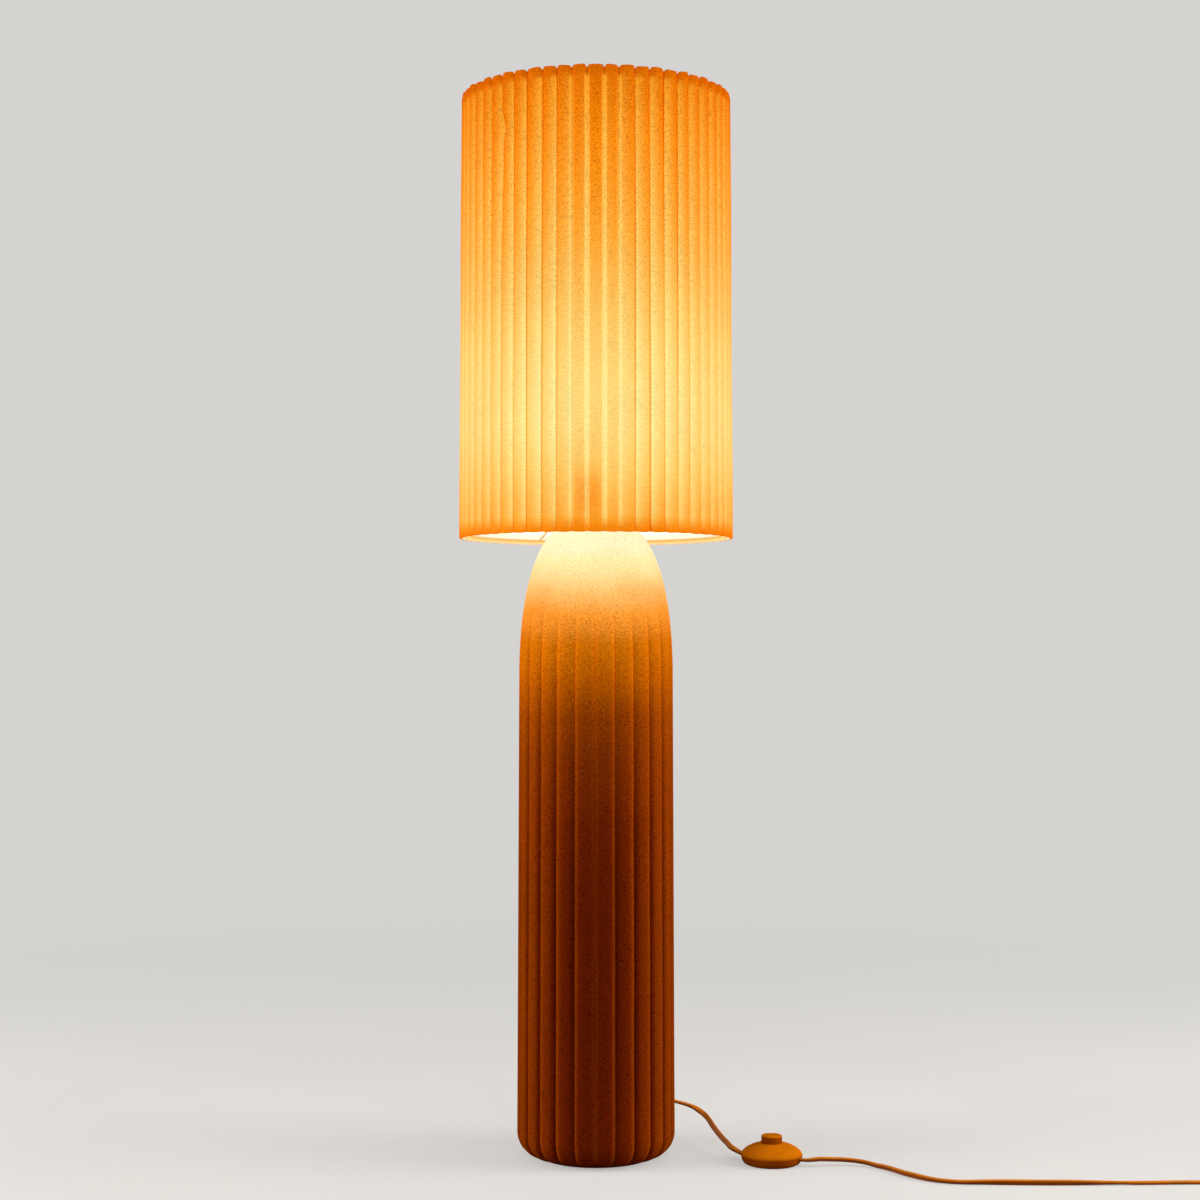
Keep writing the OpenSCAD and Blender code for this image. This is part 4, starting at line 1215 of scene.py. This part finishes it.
@dataclass
class FlatCord:
    """A flat twin cord on a route, which has rolled over by so many degrees at each x of rolls."""

    name: str
    route: Sequence[Point]
    rolls: Sequence[tuple[float, float]]
    width: float = 0.0058
    thick: float = 0.0037
    step: float = 0.0024
    sides: int = 20
    groove: tuple[float, float] = (0.16, 0.0006)
    clear: float = 0.0001

    @staticmethod
    def between(v: np.ndarray, w: np.ndarray, start: float, end: float, t: float) -> np.ndarray:
        """Returns the point on the line through two others that lies at t.

        Args:
            v: The point at start.
            w: The point at end.
            start: Where the first one lies.
            end: Where the second one lies.
            t: Where the new one lies.

        Returns:
            The new point.
        """
        return (end - t) / (end - start) * v + (t - start) / (end - start) * w

    def smooth(self) -> np.ndarray:
        """Returns points close together on a smooth curve through the route."""
        p = np.array(self.route, dtype=float)
        p = np.vstack([2 * p[0] - p[1], p, 2 * p[-1] - p[-2]])
        fine = []
        for a, b, c, d in zip(p, p[1:], p[2:], p[3:]):
            ends = [0.0]
            for u, v in ((a, b), (b, c), (c, d)):
                ends.append(ends[-1] + max(1e-6, float(np.linalg.norm(v - u))) ** 0.5)
            t0, t1, t2, t3 = ends
            for t in np.linspace(t1, t2, 9)[:-1]:
                a1 = self.between(a, b, t0, t1, t)
                a2 = self.between(b, c, t1, t2, t)
                a3 = self.between(c, d, t2, t3, t)
                b1 = self.between(a1, a2, t0, t2, t)
                b2 = self.between(a2, a3, t1, t3, t)
                fine.append(self.between(b1, b2, t1, t2, t))
        fine.append(p[-2])
        line = np.array(fine)
        gone = np.append(0, np.cumsum(np.linalg.norm(np.diff(line, axis=0), axis=1)))
        places = np.linspace(0, gone[-1], max(4, int(gone[-1] / self.step)))
        return np.stack([np.interp(places, gone, line[:, i]) for i in range(3)], axis=-1)

    def section(self) -> np.ndarray:
        """Returns the outline of two cores side by side in one sheath."""
        a = circle(self.sides) + np.pi / self.sides
        x = self.width / 2 * squared(np.cos(a), 0.85)
        y = self.thick / 2 * squared(np.sin(a), 0.6)
        deep, half = self.groove
        return np.stack([x, y * (1 - deep * np.exp(-((x / half) ** 2)))], axis=-1)

    def build(self, slot: str, replaces: Sequence[str]) -> tuple[bpy.types.Object, np.ndarray]:
        """Makes the cord.

        Args:
            slot: Not used.
            replaces: The nodes that it stands for.

        Returns:
            The cord and the points that it follows.
        """
        path = self.smooth()
        where, degrees = zip(*self.rolls)
        roll = np.radians(np.interp(path[:, 0], where, degrees))
        reach = (self.width - self.thick) / 2 * np.abs(np.sin(roll)) + self.thick / 2
        path[:, 2] = np.maximum(path[:, 2], reach + self.clear)
        along = np.gradient(path, axis=0)
        along /= np.linalg.norm(along, axis=1, keepdims=True)
        level = np.cross(along, np.array([0.0, 0.0, 1.0]))
        level /= np.linalg.norm(level, axis=1, keepdims=True)
        upright = np.cross(level, along)
        cosine, sine = np.cos(roll)[:, None], np.sin(roll)[:, None]
        wide = level * cosine + upright * sine
        high = upright * cosine - level * sine
        shape = self.section()
        rows = (path[:, None, :] + shape[None, :, :1] * wide[:, None, :]
                + shape[None, :, 1:] * high[:, None, :])
        piece = Mesher.grid(self.name, rows, caps=True, sharp=50.0)
        return finish_piece(piece, SHEATH, ROOT_BODY, replaces), path


@dataclass
class FlexAndSwitch:
    """The flat cord, with its foot switch, spare coil and plug."""

    centre: tuple[float, float] = (0.1795, -0.035)
    turn: float = -25.0
    seat: float = 0.0066
    inward: tuple[float, float, float] = (0.0314, 0.0254, 0.019)
    coil: tuple[float, float] = (0.66, -0.087)
    coil_radii: tuple[float, float, float] = (0.037, 0.0315, 0.026)
    coil_low: float = 0.0017
    coil_step: float = 0.0035
    plug_back: float = -0.025
    plug_height: float = 0.0068
    tie_turn: float = 100.0
    tie_height: float = 0.0074

    def at(self, x: float, y: float, z: float) -> Point:
        """Returns a point of the switch's own axes in the lamp's frame."""
        c, s = math.cos(math.radians(self.turn)), math.sin(math.radians(self.turn))
        return self.centre[0] + x * c - y * s, self.centre[1] + x * s + y * c, z

    def entry(self, side: int) -> list[Point]:
        """Returns where the cord runs in the switch, from its rim inwards, on side -1 or 1."""
        return [self.at(side * reach, 0, self.seat) for reach in self.inward]

    def upper_route(self) -> list[Point]:
        """Returns the route from the strain relief to the switch."""
        # In millimetres.
        points = [
            (66.08, 81.6, 42), (70, 86.5, 41.4), (78, 93, 39), (87, 96.5, 36), (97, 96.5, 33.3),
            (106, 93, 30.5), (111.5, 88.5, 27.8), (116, 82.5, 25.4), (119.5, 74.5, 23),
            (122, 66, 20.6), (124, 57, 18.6), (126, 48, 17.2), (128, 39, 15.8), (130, 30, 14.8),
            (132, 20, 13.9), (134.5, 9, 13), (137, -1, 12.2), (138.5, -8, 11.4),
            (141.5, -13.5, 10.2), (146, -18.5, 8.5)]
        return metres(points) + self.entry(-1)

    def lower_route(self) -> list[Point]:
        """Returns the route from the switch along the floor to the coil."""
        # In millimetres.
        points = [
            (214, -50.5, 6.5), (220, -51.5, 7.3), (227, -50.5, 7.7), (234, -48.5, 7.2),
            (242, -46.5, 6.5), (250, -45, 6), (258, -45, 5.4), (266, -46.5, 4.8), (274, -49.5, 4),
            (282, -55, 3), (289, -62, 2.5), (296, -71, 2), (302, -81, 1.7), (309, -92, 1.7),
            (317, -102, 1.7), (326, -112, 1.7), (336, -119, 1.7), (348, -124, 1.7),
            (362, -126.5, 1.7), (380, -127, 1.7), (400, -128, 1.7), (425, -129, 1.7),
            (450, -129.5, 1.7), (480, -129, 1.7), (510, -127.5, 1.7), (540, -126.5, 1.7),
            (570, -125, 1.7), (600, -124.5, 1.7), (622, -124, 1.7), (640, -124, 1.7)]
        return self.entry(1)[::-1] + metres(points)

    def coil_route(self) -> list[Point]:
        """Returns the route round the two layers of the coil and on to the plug."""
        wide, mid, tight = self.coil_radii
        points = []
        for angle in range(0, 1891, 15):
            r = wide + (mid - wide) * eased(angle, 240, 300) + (tight - mid) * eased(angle, 600, 660)
            r += (mid - tight) * eased(angle, 1320, 1380) + (wide - mid) * eased(angle, 1680, 1740)
            z = self.coil_low + self.coil_step * eased(angle, 880, 960)
            a = math.radians(angle - 90)
            points.append((self.coil[0] + r * math.cos(a), self.coil[1] + r * math.sin(a), z))
        x = points[-1][0]
        return [*points, (x, -0.079, 0.0052), (x, -0.07, 0.0054), (x, -0.06, 0.006),
                (x, -0.052, 0.0066), (x, -0.046, 0.0068), (x, -0.043, 0.0068)]

    def plug(self) -> bpy.types.Object:
        """Makes the flat plug with its ribbed strain relief."""
        x = self.coil[0] + self.coil_radii[0]
        # Distance along the plug, half its width, half its thickness, and how square it is.
        stations = [(-0.02, 0.003, 0.003, 2.0)]
        for i in range(9):
            y = -0.0185 + i * 0.002
            r = 0.003 + 0.001 * (y + 0.02) / 0.02
            stations += [(y, r, r, 2.0), (y + 0.0004, r - 0.0006, r - 0.0006, 2.0),
                         (y + 0.0012, r - 0.0006, r - 0.0006, 2.0)]
        stations += [(0.0, 0.004, 0.004, 2.2), (0.004, 0.0056, 0.0047, 2.4),
                     (0.009, 0.0079, 0.0057, 2.8), (0.014, 0.0102, 0.0066, 3.4),
                     (0.019, 0.0117, 0.0067, 4.0), (0.024, 0.0124, 0.0068, 4.5),
                     (0.0338, 0.0124, 0.0068, 5.0), (0.0346, 0.0122, 0.0066, 5.0),
                     (0.035, 0.0115, 0.006, 5.0)]
        a = circle(48)
        grid = []
        for y, half_w, half_t, power in stations:
            across = x + half_w * squared(np.cos(a), 2 / power)
            height = self.plug_height + half_t * squared(np.sin(a), 2 / power)
            grid.append(np.stack([across, np.full(48, self.plug_back + y), height], -1))
        grid.reverse()
        piece = Mesher.grid("plug_shell", np.array(grid), caps=True, sharp=45.0)
        return finish_piece(piece, ORANGE_PLASTIC, ROOT_BODY, ["plug_body"])

    def tie(self) -> bpy.types.Object:
        """Makes the tie that holds the coil, a flat band round its turns."""
        azimuth = math.radians(self.tie_turn)
        out = np.array([math.cos(azimuth), math.sin(azimuth), 0.0])
        across = np.array([-out[1], out[0], 0.0])
        middle = np.array([*self.coil, 0.0]) + out * self.coil_radii[1]
        band = [(-0.0084, 0.0), (0.0084, 0.0), (0.0086, 0.0002), (0.0086, 0.0066),
                (0.008, 0.0074), (-0.008, 0.0074), (-0.0086, 0.0066), (-0.0086, 0.0002)]
        rows = []
        for offset, shrink in ((-0.004, 0.0), (-0.0038, 0.0), (0.0038, 0.0), (0.004, 0.0),
                               (0.004, 0.0003), (-0.004, 0.0003)):
            ring = []
            for u, w in band:
                u = u - math.copysign(shrink, u)
                w = min(max(w, shrink), self.tie_height - shrink)
                ring.append(middle + out * u + across * offset + np.array([0, 0, w]))
            rows.append(ring)
        piece = Mesher.grid("coil_tie", np.array(rows), loop=True, sharp=30.0)
        return finish_piece(piece, SHEATH, ROOT_BODY)

    def build(self) -> None:
        rolls = ((0.1, 0.0), (0.118, -42.0), (0.134, -45.0), (0.144, -15.0), (0.15, 0.0))
        upper, path = FlatCord("cord_to_foot_switch", self.upper_route(), rolls).build(
            "cord", ["cord_to_switch"])
        route = self.lower_route() + self.coil_route()
        rolls = ((0.207, 0.0), (0.222, 40.0), (0.27, 42.0), (0.3, 62.0), (0.318, 70.0),
                 (0.336, 42.0), (0.358, 35.0), (0.38, 52.0), (0.4, 66.0), (0.46, 66.0),
                 (0.53, 0.0))
        lower, path = FlatCord("cord_to_the_plug", route, rolls).build(
            "cord", ["cord_from_switch", "cord_coil", "cord_to_plug"])
        LOG.info("the cord after the switch is %.3f m long", run(path))
        self.plug()
        self.tie()


@dataclass
class Hardware:
    """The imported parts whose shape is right, which get better finishes and softer edges."""

    smooth_below: float = 32.0
    edge_above: float = 38.0
    steel: Metal = Metal("zinc_steel", (0.55, 0.55, 0.56), 0.34)
    brass: Metal = Metal("turned_brass", (0.72, 0.49, 0.2), 0.28)
    nickel: Metal = Metal("nickel_plate", (0.66, 0.63, 0.6), 0.22)
    holder: Moulded = Moulded("holder_plastic", (0.72, 0.62, 0.45), 0.4, 0.00003)
    rubber: Moulded = Moulded("black_rubber", (0.02, 0.02, 0.02), 0.7, 0.00006)
    bakelite: Moulded = Moulded("insulator_black", (0.015, 0.014, 0.014), 0.25, 0.00002)
    # The shade's wires glow with painted light from the bulb.
    wire: Enamel = Enamel("coated_wire", (0.75, 0.66, 0.5), (0.3, 0.12, 0.02))
    enamel: Enamel = Enamel("enamelled_plate", (0.04, 0.036, 0.032))
    cap: Enamel = Enamel("neck_enamel", (0.6, 0.45, 0.24))
    felt: Felt = Felt("brown_felt", (0.09, 0.05, 0.03))
    glass: Frosted = Frosted("frosted_bulb", (1.0, 0.86, 0.6))
    stem: ClearGlass = ClearGlass("stem_glass")
    filament: Moulded = Moulded("lit_filament", (0.9, 0.6, 0.2), 0.5, 0.00001, (1.0, 0.72, 0.3))
    broken_edges: Mapping[str, float] = field(default_factory=lambda: {
        "switch_base": 0.0005, "switch_cover": 0.0004, "switch_button": 0.0005,
        "strain_relief": 0.0003, "neck_cap": 0.0003, "holder_cap": 0.0004,
        "holder_shell": 0.0004, "shade_clamp_ring": 0.0004, "plug_pins": 0.0003})

    def finishes(self) -> dict[str, Finish]:
        """Returns the finish of each node that stays."""
        groups: dict[Finish, tuple[str, ...]] = {
            self.steel: ("clamp_washer", "lower_nut", "grub_screw", "holder_screws",
                         "filament_frame", "button_spring", "terminal_screws", "case_screws"),
            self.brass: ("nipple", "upper_nut", "holder_sleeve", "centre_contact",
                         "moving_contact", "fixed_contacts", "terminal_blocks"),
            self.nickel: ("bulb_screw_cap", "bulb_tip", "plug_pins"),
            self.holder: ("holder_cap", "holder_shell", "holder_insert", "shade_clamp_ring",
                          "ratchet_rotor", "cord_clamps"),
            self.rubber: ("neck_gasket",),
            self.bakelite: ("bulb_insulator",),
            self.wire: ("shade_frame", "shade_top_ring"),
            self.enamel: ("bottom_plate",),
            self.cap: ("neck_cap",),
            self.felt: ("felt_ring",),
            self.glass: ("bulb_glass",),
            self.stem: ("bulb_stem",),
            self.filament: ("filaments",),
            SHEATH: ("internal_cord", "switch_leads"),
            ORANGE_PLASTIC: ("strain_relief", "switch_base", "switch_cover", "switch_button"),
        }
        return {node: finish for finish, nodes in groups.items() for node in nodes}

    def build(self) -> None:
        """Gives each node its finish, smooth rounds and slightly broken edges."""
        for node, finish in self.finishes().items():
            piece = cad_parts[node]
            dress(piece, finish)
            piece.data.polygons.foreach_set("use_smooth", [True] * len(piece.data.polygons))
            piece.data.set_sharp_from_angle(angle=math.radians(self.smooth_below))
            if node in self.broken_edges:
                edge = piece.modifiers.new("broken_edges", "BEVEL")
                edge.width = self.broken_edges[node]
                edge.segments = 2
                edge.limit_method = "ANGLE"
                edge.angle_limit = math.radians(self.edge_above)
                edge.use_clamp_overlap = True
                edge.harden_normals = True
            LOG.info("finished %s as %s", node, finish.name)


@dataclass(frozen=True)
class Softbox:
    """A soft square light."""

    name: str
    spot: Point
    side: float
    watts: float
    colour: Colour


@dataclass
class Studio:
    """The floor, the camera and the light."""

    spot: Point = (0.0041, -2.296, 0.5194)
    tilt: float = 1.422
    lens: float = 66.0
    sensor: float = 36.0
    reach: float = 50.0
    ambient: Colour = (0.3, 0.3, 0.31)
    backdrop: Colour = (0.66, 0.655, 0.64)
    floor_colour: Colour = (0.34, 0.333, 0.322)
    floor_lift: Colour = (0.42, 0.415, 0.405)
    floor_half: float = 9.0
    floor_fade: tuple[float, float] = (0.35, 2.6)
    aim: Point = (0.0, 0.0, 0.5)
    softboxes: tuple[Softbox, ...] = (
        Softbox("left_softbox", (-2.1, -0.45, 0.9), 1.3, 44.0, (1.0, 0.96, 0.9)),
        Softbox("right_softbox", (2.1, -0.35, 0.9), 1.3, 48.0, (1.0, 0.96, 0.9)),
        Softbox("top_softbox", (0.3, -0.9, 2.6), 1.8, 9.0, (1.0, 0.98, 0.95)))
    bulb_spot: Point = (0.0, 0.0, 0.84)
    bulb_radius: float = 0.03
    bulb_watts: float = 1.4
    bulb_colour: Colour = (1.0, 0.72, 0.4)

    def hang(self, data: bpy.types.Light | bpy.types.Camera, spot: Point) -> bpy.types.Object:
        """Puts a light or the camera in its place.

        Args:
            data: The light or the camera.
            spot: Where it goes.

        Returns:
            The object that carries it.
        """
        made = bpy.data.objects.new(data.name, data)
        made.location = spot
        bpy.context.scene.collection.objects.link(made)
        return made

    def camera(self) -> None:
        """Puts the camera where the photograph was taken from."""
        lens = bpy.data.cameras.new("camera")
        lens.lens = self.lens
        lens.sensor_width = self.sensor
        lens.clip_end = self.reach
        made = self.hang(lens, self.spot)
        made.rotation_euler = (math.radians(90 + self.tilt), 0.0, 0.0)
        bpy.context.scene.camera = made

    def softbox(self, box: Softbox) -> None:
        """Hangs a soft square light that points at the lamp.

        Args:
            box: The light's place, size, power and colour.
        """
        light = bpy.data.lights.new(box.name, "AREA")
        light.shape = "SQUARE"
        light.size = box.side
        light.energy = box.watts
        light.color = box.colour
        way = Vector(self.aim) - Vector(box.spot)
        self.hang(light, box.spot).rotation_euler = way.to_track_quat("-Z", "Y").to_euler()

    def bulb(self) -> None:
        """Adds the light of the lamp's own bulb."""
        light = bpy.data.lights.new("bulb_light", "POINT")
        light.energy = self.bulb_watts
        light.color = self.bulb_colour
        light.shadow_soft_size = self.bulb_radius
        self.hang(light, self.bulb_spot)

    def sky(self) -> None:
        """Gives the camera a pale backdrop and the object a dim even light."""
        world = bpy.data.worlds.new("studio")
        graph = Graph(world)
        backdrop = graph.mix(self.ambient, self.backdrop, graph.seen())
        graph.join(backdrop, graph.nodes["Background"].inputs["Color"])
        bpy.context.scene.world = world

    def floor(self) -> None:
        """Lays a plain pale floor."""
        size = self.floor_half
        points = np.array([(-size, -size, 0), (size, -size, 0), (size, size, 0), (-size, size, 0)])
        made = Mesher.build("studio_floor", points, [(0, 1, 2, 3)])
        graph = Graph(bpy.data.materials.new("pale_floor"))
        place = graph.place()
        cloud = graph.noise(place, 3.0)
        far = graph.add("ShaderNodeVectorMath", {0: place}, "Value", operation="LENGTH")
        far = far.steps(*self.floor_fade)
        lift = graph.mix(self.floor_lift, self.backdrop, far)
        graph.put(
            Base__Color=graph.scaled(
                self.floor_colour, cloud.steps(0.3, 0.7, 0.98, 1.02) * (1.0 - far)),
            Roughness=0.8, Specular__IOR__Level=0.0,
            Emission__Color=graph.scaled(lift, graph.seen()), Emission__Strength=1.0)
        made.data.materials.append(graph.owner)

    def build(self) -> None:
        """Makes the whole studio."""
        self.camera()
        self.sky()
        self.floor()
        self.bulb()
        for box in self.softboxes:
            self.softbox(box)
        bpy.context.scene.view_settings.view_transform = "Standard"


def main() -> None:
    """Makes everything in order: the camera and the cords come first."""
    logging.basicConfig(level=logging.INFO, format="%(name)s: %(message)s")
    Studio().build()
    FlexAndSwitch().build()
    CeramicBody().build()
    Shade().build()
    Hardware().build()


if __name__ == "__main__":
    main()
